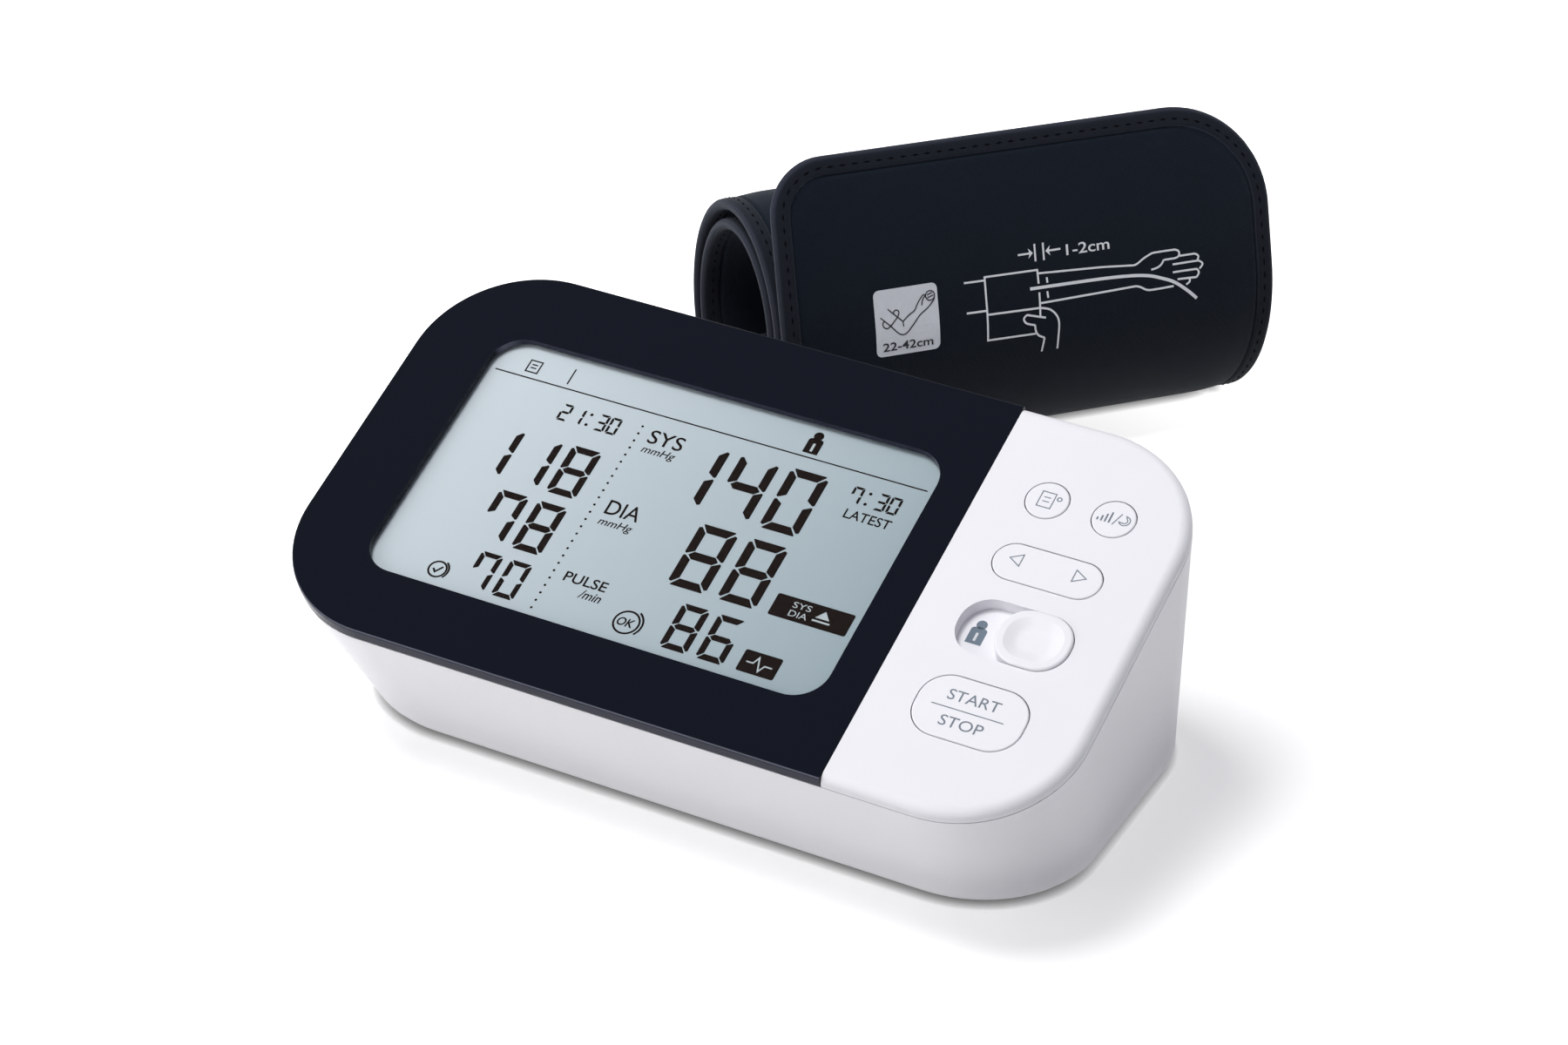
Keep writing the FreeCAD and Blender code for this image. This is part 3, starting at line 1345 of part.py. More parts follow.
def flap_points(offset):
    """The straight flap's free end and the point where it joins the winding."""
    root = winding_point(FLAP_TURN_SHARE, offset)
    inner = winding_point(FLAP_TURN_SHARE, 0.0)
    outer = winding_point(FLAP_TURN_SHARE, size("cuff_thickness"))
    normal = (outer - inner).normalize()
    rise = Vector(0, normal.z, -normal.y)
    if rise.z < 0:
        rise = rise * -1
    return root + rise * size("cuff_flap_length"), root


def winding_arcs(begin, end, offset):
    """Arcs through points of the winding, several to a turn."""
    count = max(1, math.ceil((end - begin) * ARCS_PER_TURN_COUNT))
    step = (end - begin) / count
    arcs = []
    for i in range(count):
        turns = (begin + i * step, begin + (i + 0.5) * step, begin + (i + 1) * step)
        arcs.append(Part.Arc(*[winding_point(turn, offset) for turn in turns]).toShape())
    return arcs


def band(begin, end, inner, outer, width, with_flap=False):
    """A layer of the rolled cuff between two offsets from its middle, one unbroken strip."""
    sides = []
    for offset in (outer, inner):
        edges = winding_arcs(begin, end, offset)
        if with_flap:
            edges.insert(0, Part.makeLine(*flap_points(offset)))
        sides.append(edges)
    first, last = sides[0], sides[1]
    caps = [
        Part.makeLine(first[0].Vertexes[0].Point, last[0].Vertexes[0].Point),
        Part.makeLine(first[-1].Vertexes[-1].Point, last[-1].Vertexes[-1].Point),
    ]
    profile = Part.Wire(Part.__sortEdges__(first + last + caps))
    face = Part.Face(profile)
    face.translate(Vector(-width / 2, 0, 0))
    return face.extrude(Vector(width, 0, 0))


def round_corner(solid, end, side_x, radius):
    """A band with the corner on one side of its free end rounded."""
    corner = Vector(side_x, end.y, end.z)
    edge = min(solid.Edges, key=lambda edge: (edge.CenterOfMass - corner).Length)
    return solid.makeFillet(radius, [edge])


def least_winding_gap():
    """The least gap between neighbouring loops of the winding, on points of both faces."""
    half = size("cuff_thickness") / 2
    shares = [i / GAP_STEP_COUNT for i in range(GAP_STEP_COUNT + 1)]
    turns = [FLAP_TURN_SHARE + (INNER_END_TURN_SHARE - FLAP_TURN_SHARE) * share for share in shares]
    outer = [(turn, winding_point(turn, half)) for turn in turns]
    inner = [(turn, winding_point(turn, -half)) for turn in turns]
    top, root = flap_points(-half)
    inner += [(FLAP_TURN_SHARE, root + (top - root) * share) for share in shares]
    return min(
        (place - other).Length
        for turn, place in inner
        for later, other in outer
        if later - turn > NEXT_LOOP_TURN_SHARE
    )


def add_cuff_piece(label, solid):
    """Keep one piece of the cuff, standing in the cuff's own frame."""
    item = doc.addObject("Part::Feature", label)
    item.Label = label
    item.Shape = solid
    item.Placement = cuff_frame
    pieces.append(item)


def make_cuff_wrap():
    """Cloth wrap: the roll's outer turn with the flap at its free end."""
    width = size("cuff_width")
    half = size("cuff_thickness") / 2
    wrap = band(FLAP_TURN_SHARE, SEAM_TURN_SHARE, -half, half, width, with_flap=True)
    flap_end = flap_points(0.0)[0]
    wrap = round_corner(wrap, flap_end, -width / 2, size("cuff_flap_left_corner"))
    wrap = round_corner(wrap, flap_end, width / 2, size("cuff_flap_right_corner"))
    reach = wrap.BoundBox.DiagonalLength
    table = Part.makeBox(2 * reach, 2 * reach, reach, Vector(-reach, -reach, -reach))
    add_cuff_piece("cuff_sleeve", wrap.cut(table).Solids[0])


def make_cuff_pocket():
    """Bladder pocket: the roll's inner turns, sewn to the wrap, with the curler and the bladder inside."""
    width = size("cuff_width")
    half = size("cuff_thickness") / 2
    seam_share = size("stack_gap") / (2 * math.pi * size("cuff_depth_radius - cuff_pitch"))
    cover = band(SEAM_TURN_SHARE + seam_share, INNER_END_TURN_SHARE, -half, half, width)
    inner_end = winding_point(INNER_END_TURN_SHARE)
    for side_x in (-width / 2, width / 2):
        cover = round_corner(cover, inner_end, side_x, size("cuff_end_corner"))
    room = half - size("cuff_cloth")
    room_width = width - 2 * size("cuff_hem")
    cover = cover.cut(band(*POCKET_TURN_SHARES, -room, room, room_width))
    add_cuff_piece("cuff_pocket", cover)

    gap = size("layer_gap")
    inside_width = room_width - 2 * gap
    curler_outer = room - gap
    curler_inner = curler_outer - size("curler_thickness")
    curler = band(*CURLER_TURN_SHARES, curler_inner, curler_outer, inside_width)
    add_cuff_piece("cuff_curler", curler)
    bladder_inner = gap - room
    bladder_outer = bladder_inner + size("bladder_thickness")
    bladder = band(*BLADDER_TURN_SHARES, bladder_inner, bladder_outer, inside_width)
    add_cuff_piece("cuff_bladder", bladder)
    print(f"least gap between the cuff's loops {least_winding_gap():.2f} mm")


def make_cuff_port():
    """Air port at the cuff's far edge: a collar and a nipple for the hose."""
    place = winding_point(PORT_TURN_SHARE)
    edge = Vector(size("cuff_width / 2 + stack_gap"), place.y, place.z)
    body = new_body("cuff_port", cuff_frame.multiply(Placement(edge, Rotation())))
    for name, radius, length in (
        ("collar", "port_collar_radius", "port_collar_length"),
        ("nipple", "port_radius", "port_collar_length + port_length"),
    ):
        ring = new_sketch(body, name, plane="YZ_Plane")
        circle(ring, "0", "0", radius)
        pad(body, ring, length)


make_lower_case()
make_upper_case()
make_display_bezel()
make_display_stack()
make_lcd_holder()
make_boards()
make_board_screws()
make_tact_switches()
make_slide_switch()
make_board_chips()
make_buttons()
make_slide_knob()
make_slide_shutter()
make_rubber_feet()
make_case_screws()
make_battery_cells()
make_battery_contacts()
make_battery_cover()
make_pump()
make_air_manifold()
make_release_valve()
make_pressure_sensor()
make_air_hoses()
make_air_jack()
make_dc_jack()
make_cuff_wrap()
make_cuff_pocket()
make_cuff_port()
doc.recompute()

# The origin is on the table under the middle of the whole set
whole = FreeCAD.BoundBox()
for piece in pieces:
    whole.add(piece.Shape.BoundBox)
to_origin = Placement(Vector(-whole.Center.x, -whole.Center.y, 0), Rotation())
for piece in pieces:
    piece.Placement = to_origin.multiply(piece.Placement)
doc.recompute()
print(f"origin lies at x {whole.Center.x:.3f}, y {whole.Center.y:.3f} of the monitor's own frame")

for item in doc.Objects:
    if "Invalid" in item.State or "Error" in item.State:
        raise RuntimeError(f"{item.Label} failed: {item.State}")
for piece in pieces:
    if piece.Shape.isNull() or not piece.Shape.isValid():
        raise RuntimeError(f"{piece.Label} has no valid shape")

os.makedirs("parts", exist_ok=True)
for piece in pieces:
    piece.Shape.exportStep(f"parts/{piece.Label}.step")
    print(f"{piece.Label}: {len(piece.Shape.Solids)} solids, {piece.Shape.Volume:.0f} mm3")
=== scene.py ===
import bisect
import bpy
import math
from mathutils import Matrix, Vector
from mathutils.geometry import tessellate_polygon


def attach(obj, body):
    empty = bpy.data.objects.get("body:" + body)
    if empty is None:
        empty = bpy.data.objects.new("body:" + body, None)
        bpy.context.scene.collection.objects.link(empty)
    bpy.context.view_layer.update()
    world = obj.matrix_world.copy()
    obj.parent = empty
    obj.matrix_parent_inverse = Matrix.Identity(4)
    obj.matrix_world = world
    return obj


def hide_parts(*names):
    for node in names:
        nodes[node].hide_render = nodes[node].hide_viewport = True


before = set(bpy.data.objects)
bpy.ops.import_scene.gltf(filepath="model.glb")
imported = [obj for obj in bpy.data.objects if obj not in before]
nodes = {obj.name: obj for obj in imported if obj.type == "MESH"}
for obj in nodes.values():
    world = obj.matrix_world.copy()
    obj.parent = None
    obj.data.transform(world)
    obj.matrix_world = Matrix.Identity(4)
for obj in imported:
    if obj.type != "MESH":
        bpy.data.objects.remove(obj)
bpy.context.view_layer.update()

# Home upper-arm blood pressure monitor and its rolled cuff, dressed for one studio view.
# Lengths are in millimetres until to_frame() turns them into metres of the shared frame.

MM = 0.001

# Where the monitor's own frame and its sloping lid lie in the shared frame
ORIGIN_Y = 101.870
LID_TILT = math.radians(23.2)
LID_HEIGHT = 59.7
DISPLAY_LEVEL = -2.48
SLOT_FLOOR_LEVEL = -3.37
BUTTON_LEVEL = 0.18

# Camera, as the photograph was taken
CAMERA_AZIMUTH = math.radians(26.35)
CAMERA_ELEVATION = math.radians(30.97)
CAMERA_ROLL = math.radians(2.02)
CAMERA_DISTANCE = 908.83
CAMERA_TARGET = (-4.15, 33.22, 43.09)
FOCAL_PIXELS = 4585.9
IMAGE_WIDTH_PIXELS = 1800
SENSOR_WIDTH = 36.0


def to_frame(x, y, z):
    """Monitor frame in millimetres to the shared frame in metres."""
    return Vector((x, y - ORIGIN_Y, z)) * MM


def scaled(values, share):
    """Each of a few values times one factor."""
    return [value * share for value in values]


def on_lid(level):
    """A function that puts lid coordinates at one height above the sloping face."""
    cosine, sine = math.cos(LID_TILT), math.sin(LID_TILT)

    def place(x, up):
        return to_frame(x, up * cosine - level * sine, LID_HEIGHT + up * sine + level * cosine)

    return place


# Shader nodes

NOISE_DETAIL = 3.0


def feed(node, inputs):
    """Set a node's own sockets, each to a constant or to what another node gives out."""
    for socket, value in inputs.items():
        if isinstance(value, bpy.types.NodeSocket):
            node.id_data.links.new(value, node.inputs[socket])
        else:
            node.inputs[socket].default_value = value


def new_node(tree, kind, inputs=None, operation=None):
    """A node with its inputs set, and its operation where it has a choice."""
    node = tree.nodes.new("ShaderNode" + kind)
    if operation:
        node.operation = operation
    feed(node, inputs or {})
    return node


def coordinates(tree, kind="Object"):
    """Surface coordinates for a pattern."""
    return new_node(tree, "TexCoord").outputs[kind]


def joined(operation, first, second):
    """Two values joined by their product or by the larger of the two."""
    return new_node(first.id_data, "Math", {0: first, 1: second}, operation).outputs[0]


def dimmed(colour, share):
    """A colour times a value or another colour."""
    return new_node(colour.id_data, "VectorMath", {0: colour, 1: share}, "MULTIPLY").outputs["Vector"]


def mapped(source, reach, shares):
    """A value carried from one range to another and held at its ends."""
    inputs = zip(("Value", "From Min", "From Max", "To Min", "To Max"), (source, *reach, *shares))
    return new_node(source.id_data, "MapRange", dict(inputs)).outputs["Result"]


def spread(source, shares):
    """A pattern's values spread between two shares."""
    return mapped(source, (0.0, 1.0), shares)


def noise(source, grain):
    """Cloudy pattern with its grain in lumps per metre."""
    inputs = {"Vector": source, "Scale": grain, "Detail": NOISE_DETAIL}
    return new_node(source.id_data, "TexNoise", inputs).outputs["Fac"]


def stepped_tint(source, stops):
    """Colours that change at places along a value from zero to one."""
    ramp = new_node(source.id_data, "ValToRGB", {"Fac": source})
    while len(ramp.color_ramp.elements) < len(stops):
        ramp.color_ramp.elements.new(1.0)
    for element, (place, colour) in zip(ramp.color_ramp.elements, stops):
        element.position = place
        element.color = (*colour, 1.0)
    return ramp.outputs["Color"]


def tint(source, first, last):
    """Two colours mixed by a pattern."""
    return stepped_tint(source, ((0.0, first), (1.0, last)))


def relief(shader, source, depth):
    """A fine bump on the shader, its depth in millimetres."""
    bump = new_node(source.id_data, "Bump", {"Distance": depth * MM, "Strength": 1.0, "Height": source})
    feed(shader, {"Normal": bump.outputs["Normal"]})


def facing(tree, direction):
    """How far a surface faces one way: one when squarely, zero when it lies along it."""
    normal = new_node(tree, "NewGeometry").outputs["Normal"]
    return new_node(tree, "VectorMath", {0: normal, 1: direction}, "DOT_PRODUCT").outputs["Value"]


def emission(strength):
    """White light of a strength that other nodes work out."""
    return new_node(strength.id_data, "Emission", {"Strength": strength}).outputs[0]


def mixed(share, first, second):
    """Two shaders mixed by a value: the first at zero, the second at one."""
    return new_node(share.id_data, "MixShader", {0: share, 1: first, 2: second}).outputs[0]


def seen_by_eye(tree):
    """A value of one on rays from the camera, mirrors and glass, and zero on light's own rays."""
    rays = new_node(tree, "LightPath").outputs
    seen = joined("MAXIMUM", rays["Is Camera Ray"], rays["Is Glossy Ray"])
    return joined("MAXIMUM", seen, rays["Is Transmission Ray"])


def new_piece(name, points, faces, material):
    """A mesh object of one material, in the scene."""
    mesh = bpy.data.meshes.new(name)
    mesh.from_pydata(points, [], faces)
    mesh.materials.append(material)
    piece = bpy.data.objects.new(name, mesh)
    bpy.context.scene.collection.objects.link(piece)
    return piece


# Stage

def make_camera():
    """Camera at the photograph's place, with its long lens."""
    sine, cosine = math.sin(CAMERA_AZIMUTH), math.cos(CAMERA_AZIMUTH)
    flat = math.cos(CAMERA_ELEVATION)
    back = Vector((sine * flat, -cosine * flat, math.sin(CAMERA_ELEVATION)))
    level = Vector((cosine, sine, 0))
    rise = back.cross(level)
    right = level * math.cos(CAMERA_ROLL) + rise * math.sin(CAMERA_ROLL)
    up = rise * math.cos(CAMERA_ROLL) - level * math.sin(CAMERA_ROLL)
    data = bpy.data.cameras.new("photo_camera")
    data.sensor_fit = "HORIZONTAL"
    data.sensor_width = SENSOR_WIDTH
    data.lens = SENSOR_WIDTH * FOCAL_PIXELS / IMAGE_WIDTH_PIXELS
    camera = bpy.data.objects.new("photo_camera", data)
    position = to_frame(*CAMERA_TARGET) + back * CAMERA_DISTANCE * MM
    camera.matrix_world = Matrix.Translation(position) @ Matrix((right, up, back)).transposed().to_4x4()
    bpy.context.scene.collection.objects.link(camera)
    bpy.context.scene.camera = camera


FLOOR_HALF_SIDE = 4000.0
FLOOR_DROP = 0.05
FLOOR_COLOUR = (0.80, 0.795, 0.78, 1.0)
# How far from the set's foot painted contact shade darkens the floor
FLOOR_CONTACT_SHADE_REACH = 2.5
# Light that the floor gives back to rays from close above it, so that the underside can be seen
FLOOR_GAP_SHARES = (0.36, 0.0)
FLOOR_GAP_REACH = (3.0, 12.0)
# How much white the floor adds to the eye as painted light, which pales the shadows farther off, and
# between which distances from this place it rises
FLOOR_GLOW_SHARES = (0.45, 1.0)
FLOOR_GLOW_REACH = (130.0, 195.0)
FLOOR_GLOW_PLACE = (60.0, 12.0, 0.0)
WHITE = (1.0, 1.0, 1.0, 1.0)
AMBIENT_COLOUR = (0.92, 0.95, 1.10, 1.0)
AMBIENT_SHARE = 0.22
# Soft lights: place, side, power in watts
SOFTBOXES = {
    "key_light": ((-250.0, -285.0, 1215.0), 420.0, 10.8),
    "fill_light": ((-1000.0, -1050.0, 450.0), 1200.0, 9.0),
    "back_light": ((850.0, 950.0, 255.0), 500.0, 1.1),
}
LIGHT_AIM = (0.0, 40.0, 30.0)


def make_world():
    """Even white surroundings: white to the eye, dimmer as light."""
    world = bpy.data.worlds.new("studio")
    world.use_nodes = True
    tree = world.node_tree
    light = tree.nodes["Background"]
    feed(light, {"Color": AMBIENT_COLOUR, "Strength": AMBIENT_SHARE})
    white = new_node(tree, "Background", {"Color": WHITE, "Strength": 1.0})
    both = mixed(seen_by_eye(tree), light.outputs[0], white.outputs[0])
    feed(tree.nodes["World Output"], {"Surface": both})
    bpy.context.scene.world = world


def floor_glow(where, contact_unshaded_share):
    """White that the floor shows to the eye as painted light: part of it near the set, all of it farther
    off where it pales the shadows, and less of it in painted contact shade.
    """
    spots = {0: where, 1: to_frame(*FLOOR_GLOW_PLACE)}
    distance = new_node(where.id_data, "VectorMath", spots, "DISTANCE").outputs["Value"]
    rise = mapped(distance, scaled(FLOOR_GLOW_REACH, MM), FLOOR_GLOW_SHARES)
    seen = joined("MULTIPLY", rise, seen_by_eye(where.id_data))
    return emission(joined("MULTIPLY", seen, contact_unshaded_share))


def floor_gap_light(tree):
    """Light for short scattered rays alone, which start on the underside and low on the walls."""
    rays = new_node(tree, "LightPath").outputs
    near = mapped(rays["Ray Length"], scaled(FLOOR_GAP_REACH, MM), FLOOR_GAP_SHARES)
    return emission(joined("MULTIPLY", near, rays["Is Diffuse Ray"]))


def floor_white():
    """Matt white with light of its own, painted contact shade close to the set's foot, and clear from
    below.
    """
    material, shader, where = new_material("floor_white")
    tree = where.id_data
    tree.nodes.remove(shader)
    open_space = {"Color": FLOOR_COLOUR, "Distance": FLOOR_CONTACT_SHADE_REACH * MM}
    # Ambient occlusion paints contact shade into the floor's colour and into its glow
    contact = new_node(tree, "AmbientOcclusion", open_space).outputs
    above = new_node(tree, "BsdfDiffuse", {"Color": contact["Color"]}).outputs[0]
    for light in (floor_glow(where, contact["AO"]), floor_gap_light(tree)):
        above = new_node(tree, "AddShader", {0: above, 1: light}).outputs[0]
    below = new_node(tree, "BsdfTransparent").outputs[0]
    side = new_node(tree, "NewGeometry").outputs["Backfacing"]
    feed(tree.nodes["Material Output"], {"Surface": mixed(side, above, below)})
    return material


def make_floor():
    """White sweep under the set, which keeps the shadows and can be looked through from below."""
    half = FLOOR_HALF_SIDE * MM
    level = -FLOOR_DROP * MM
    corners = [(-half, -half, level), (half, -half, level), (half, half, level), (-half, half, level)]
    floor = new_piece("floor", corners, [(0, 1, 2, 3)], floor_white())


def make_softbox(name, position, side, power):
    """A square soft light that points at the set."""
    data = bpy.data.lights.new(name, "AREA")
    data.size = side * MM
    data.energy = power
    lamp = bpy.data.objects.new(name, data)
    lamp.location = to_frame(*position)
    lamp.visible_glossy = False
    aim = to_frame(*LIGHT_AIM) - lamp.location
    lamp.rotation_euler = aim.to_track_quat("-Z", "Y").to_euler()
    bpy.context.scene.collection.objects.link(lamp)


# Materials

def new_material(name):
    """A node material, its main shader and the coordinates on its surface."""
    material = bpy.data.materials.new(name)
    material.use_nodes = True
    tree = material.node_tree
    return material, tree.nodes["Principled BSDF"], coordinates(tree)


# Moulded finishes: colour, roughness share, depth of grain, solids that have it
MOULDED = {
    "satin_white": ((0.86, 0.85, 0.88), 0.42, 0.008, "lower_case", "upper_case", "battery_cover"),
    "button_white": (
        (0.87, 0.86, 0.89), 0.36, 0.004,
        "memory_button", "average_button", "rocker_button", "start_button", "slide_knob", "slide_shutter",
    ),
    "dark_plastic": (
        (0.02, 0.02, 0.022), 0.5, 0.02,
        "board_chips", "tact_switches", "slide_switch", "pump_head", "dc_jack",
    ),
    "grey_plastic": ((0.45, 0.45, 0.47), 0.5, 0.02, "lcd_holder", "air_manifold"),
    "light_guide": ((0.80, 0.83, 0.85), 0.25, 0.01, "light_guide"),
    "sensor_cream": ((0.72, 0.70, 0.62), 0.5, 0.02, "pressure_sensor"),
    "black_rubber": ((0.02, 0.02, 0.02), 0.8, 0.05, "pump_cradle"),
    "silicone": ((0.74, 0.74, 0.71), 0.45, 0.02, "air_hoses"),
    "jack_grey": ((0.09, 0.09, 0.10), 0.45, 0.02, "air_jack"),
    "grey_rubber": ((0.30, 0.30, 0.31), 0.8, 0.05, "rubber_feet"),
    "bladder_film": ((0.22, 0.22, 0.23), 0.55, 0.03, "cuff_bladder"),
    "curler_sheet": ((0.60, 0.60, 0.57), 0.45, 0.01, "cuff_curler"),
    "port_grey": ((0.05, 0.05, 0.055), 0.5, 0.02, "cuff_port"),
}
MOULD_CLOUD_GRAIN = 60.0
MOULD_GLOSS_GRAIN = 400.0
MOULD_FINE_GRAIN = 2600.0
MOULD_DARK_SHARE = 0.97
MOULD_GLOSS_SHARES = (0.9, 1.1)
MOULD_SPECULAR_SHARE = 0.45


def moulded(name, colour, roughness, depth):
    """Moulded plastic or rubber: slight colour cloud, uneven gloss and a fine spark-eroded grain."""
    material, shader, where = new_material(name)
    cloud, gloss = noise(where, MOULD_CLOUD_GRAIN), noise(where, MOULD_GLOSS_GRAIN)
    feed(shader, {
        "Base Color": tint(cloud, scaled(colour, MOULD_DARK_SHARE), colour),
        "Roughness": spread(gloss, scaled(MOULD_GLOSS_SHARES, roughness)),
        "Specular IOR Level": MOULD_SPECULAR_SHARE,
    })
    relief(shader, noise(where, MOULD_FINE_GRAIN), depth)
    return material


# Plated finishes: colour, roughness share, solids that have it
PLATED = {
    "plated_steel": (
        (0.62, 0.62, 0.64), 0.32, "pump_motor", "release_valve", "case_screws", "board_screws",
    ),
    "plated_contact": ((0.78, 0.76, 0.72), 0.22, "battery_contacts"),
}
PLATED_STRETCH_SHARES = (1.0, 14.0, 14.0)
PLATED_GRAIN = 300.0
PLATED_DARK_SHARE = 0.85
PLATED_GLOSS_SHARES = (0.8, 1.3)


def plated(name, colour, roughness):
    """Plated metal with fine drawn lines."""
    material, shader, where = new_material(name)
    drawn = new_node(where.id_data, "Mapping", {"Vector": where, "Scale": PLATED_STRETCH_SHARES})
    lines = noise(drawn.outputs["Vector"], PLATED_GRAIN)
    feed(shader, {
        "Base Color": tint(lines, scaled(colour, PLATED_DARK_SHARE), colour),
        "Roughness": spread(lines, scaled(PLATED_GLOSS_SHARES, roughness)),
        "Metallic": 1.0,
    })
    return material


# Polished edge of the black panel: how far it faces the front, and its colour there; past the face's own
# blue-black these colours are a painted highlight and painted reflection on the edge and front wall
GLOSS_EDGE_PAINTED_HIGHLIGHTS = (
    (0.25, (0.0030, 0.0046, 0.0105)),
    (0.55, (0.130, 0.135, 0.170)),
    (0.75, (0.100, 0.105, 0.135)),
    (0.92, (0.030, 0.032, 0.050)),
)
GLOSS_GRAIN = 350.0
GLOSS_ROUGH_SHARES = (0.16, 0.22)
GLOSS_SPECULAR_SHARE = 0.06
GLOSS_WAVE_GRAIN = 25.0
GLOSS_WAVE_DEPTH = 0.004


def black_gloss():
    """Polished blue-black panel, clean but for a very slight waviness, with a painted highlight and
    painted reflection on its front edge.
    """
    material, shader, where = new_material("black_gloss")
    front = facing(where.id_data, (0.0, -math.cos(LID_TILT), -math.sin(LID_TILT)))
    feed(shader, {
        # Painted highlight and reflection: the colour lightens where the surface faces the front
        "Base Color": stepped_tint(front, GLOSS_EDGE_PAINTED_HIGHLIGHTS),
        "Roughness": spread(noise(where, GLOSS_GRAIN), GLOSS_ROUGH_SHARES),
        "Specular IOR Level": GLOSS_SPECULAR_SHARE,
    })
    relief(shader, noise(where, GLOSS_WAVE_GRAIN), GLOSS_WAVE_DEPTH)
    return material


WINDOW_GRAIN = 40.0
WINDOW_DARK = (0.02, 0.022, 0.024)
WINDOW_LIGHT = (0.03, 0.032, 0.034)
WINDOW_LOOK_SHARES = {"Roughness": 0.05, "Alpha": 0.02}


def clear_window():
    """Thin clear window: nearly all of the light goes through."""
    material, shader, where = new_material("clear_window")
    haze = noise(where, WINDOW_GRAIN)
    feed(shader, {"Base Color": tint(haze, WINDOW_DARK, WINDOW_LIGHT), **WINDOW_LOOK_SHARES})
    return material


# Painted light on the display: paler where the light falls at the upper left, painted shade darker and
# cooler towards the lower right
DISPLAY_PAINTED_LIT = (0.62, 0.685, 0.72)
DISPLAY_PAINTED_SHADED = (0.33, 0.41, 0.445)
# How the painted light fades into painted shade: direction, share at the frame's zero, rise per metre
DISPLAY_LIGHT_FADE_TURN = math.radians(17.3)
DISPLAY_LIGHT_FADE_SHARE = 0.41
DISPLAY_LIGHT_FADE_RISE = 7.84
DISPLAY_GRAIN = 5000.0
DISPLAY_GRAIN_DEPTH = 0.002
DISPLAY_LOOK_SHARES = {"Roughness": 0.45, "Specular IOR Level": 0.2}


def display_face():
    """Reflective display with painted light: paler at the upper left, with painted shade darker and cooler
    towards the lower right.
    """
    material, shader, where = new_material("display_face")
    tree = where.id_data
    across = new_node(tree, "Mapping", {
        "Vector": where,
        "Rotation": (0.0, 0.0, DISPLAY_LIGHT_FADE_TURN),
        "Location": (DISPLAY_LIGHT_FADE_SHARE, 0.0, 0.0),
        "Scale": (DISPLAY_LIGHT_FADE_RISE, DISPLAY_LIGHT_FADE_RISE, DISPLAY_LIGHT_FADE_RISE),
    })
    painted_light = new_node(tree, "TexGradient", {"Vector": across.outputs["Vector"]}).outputs["Fac"]
    # Painted light and shade across the display's face
    feed(shader, {"Base Color": tint(painted_light, DISPLAY_PAINTED_LIT, DISPLAY_PAINTED_SHADED), **DISPLAY_LOOK_SHARES})
    relief(shader, noise(where, DISPLAY_GRAIN), DISPLAY_GRAIN_DEPTH)
    return material


# Inks: colour, roughness share, specular share
INKS = {
    "segment_ink": ((0.012, 0.008, 0.007), 0.55, 0.03),
    "tag_ink": ((0.50, 0.56, 0.58), 0.55, 0.25),
    "print_grey": ((0.20, 0.23, 0.27), 0.55, 0.25),
    "user_slate": ((0.17, 0.215, 0.265), 0.55, 0.25),
    "user_white": ((0.72, 0.72, 0.74), 0.55, 0.25),
    "cuff_print_white": ((0.80, 0.82, 0.84), 0.55, 0.25),
    "cuff_tag_grey": ((0.70, 0.72, 0.76), 0.55, 0.25),
    "cuff_tag_black": ((0.02, 0.02, 0.025), 0.55, 0.25),
    "thread": ((0.003, 0.003, 0.005), 0.8, 0.02),
}
INK_GRAIN = 900.0
INK_DARK_SHARE = 0.9
INK_DEPTH = 0.004


def ink(name):
    """Printed ink with a slightly uneven film."""
    colour, roughness, specular = INKS[name]
    material, shader, where = new_material(name)
    film = noise(where, INK_GRAIN)
    feed(shader, {
        "Base Color": tint(film, scaled(colour, INK_DARK_SHARE), colour),
        "Roughness": roughness,
        "Specular IOR Level": specular,
    })
    relief(shader, film, INK_DEPTH)
    return material


# Cloth of the cuff: its tints, its weave, and the painted shade that darkens the tints towards its foot
CLOTH_DARK = (0.025, 0.035, 0.050)
CLOTH_LIGHT = (0.045, 0.062, 0.087)
CLOTH_PITCH = 0.9
CLOTH_DEPTH = 0.07
CLOTH_CLOUD_GRAIN = 70.0
THREAD_SHARE = 0.5
CLOUD_SHARES = (0.0, 0.5)
CLOTH_ROUGH_SHARES = (0.55, 0.65)
WEAVE_LOOK_SHARES = {"Distortion": 1.2, "Detail Scale": 3.0}
CLOTH_LOOK_SHARES = {
    "Specular IOR Level": 0.03,
    "Sheen Weight": 0.1,
    "Sheen Tint": (0.80, 0.85, 1.0, 1.0),
    "Sheen Roughness": 0.5,
}
# Painted shade: from its top down to the table the cloth keeps less of its tint
CUFF_TOP = 78.0
CUFF_PAINTED_SHADE_SHARES = (0.2, 1.0)
# How much of its tint the cloth keeps, from its edge inwards: piping, binding, piping, then the panel; the
# piping's pale tint is partly its own and partly a painted edge highlight
PIPING_HIGHLIGHT_SHARES = (1.0, 0.80, 0.78)
BINDING_SHARES = (0.50, 0.42, 0.42)
PANEL_SHARES = (0.285, 0.31, 0.345)


def weave(tree):
    """Height of a plain weave: two crossing sets of threads along the strip of cloth."""
    strip = coordinates(tree, "UV")
    threads = []
    for direction in ("X", "Y"):
        inputs = {"Vector": strip, "Scale": 1.0 / CLOTH_PITCH, **WEAVE_LOOK_SHARES}
        wave = new_node(tree, "TexWave", inputs)
        wave.bands_direction = direction
        threads.append(wave.outputs["Fac"])
    return joined("MULTIPLY", *threads)


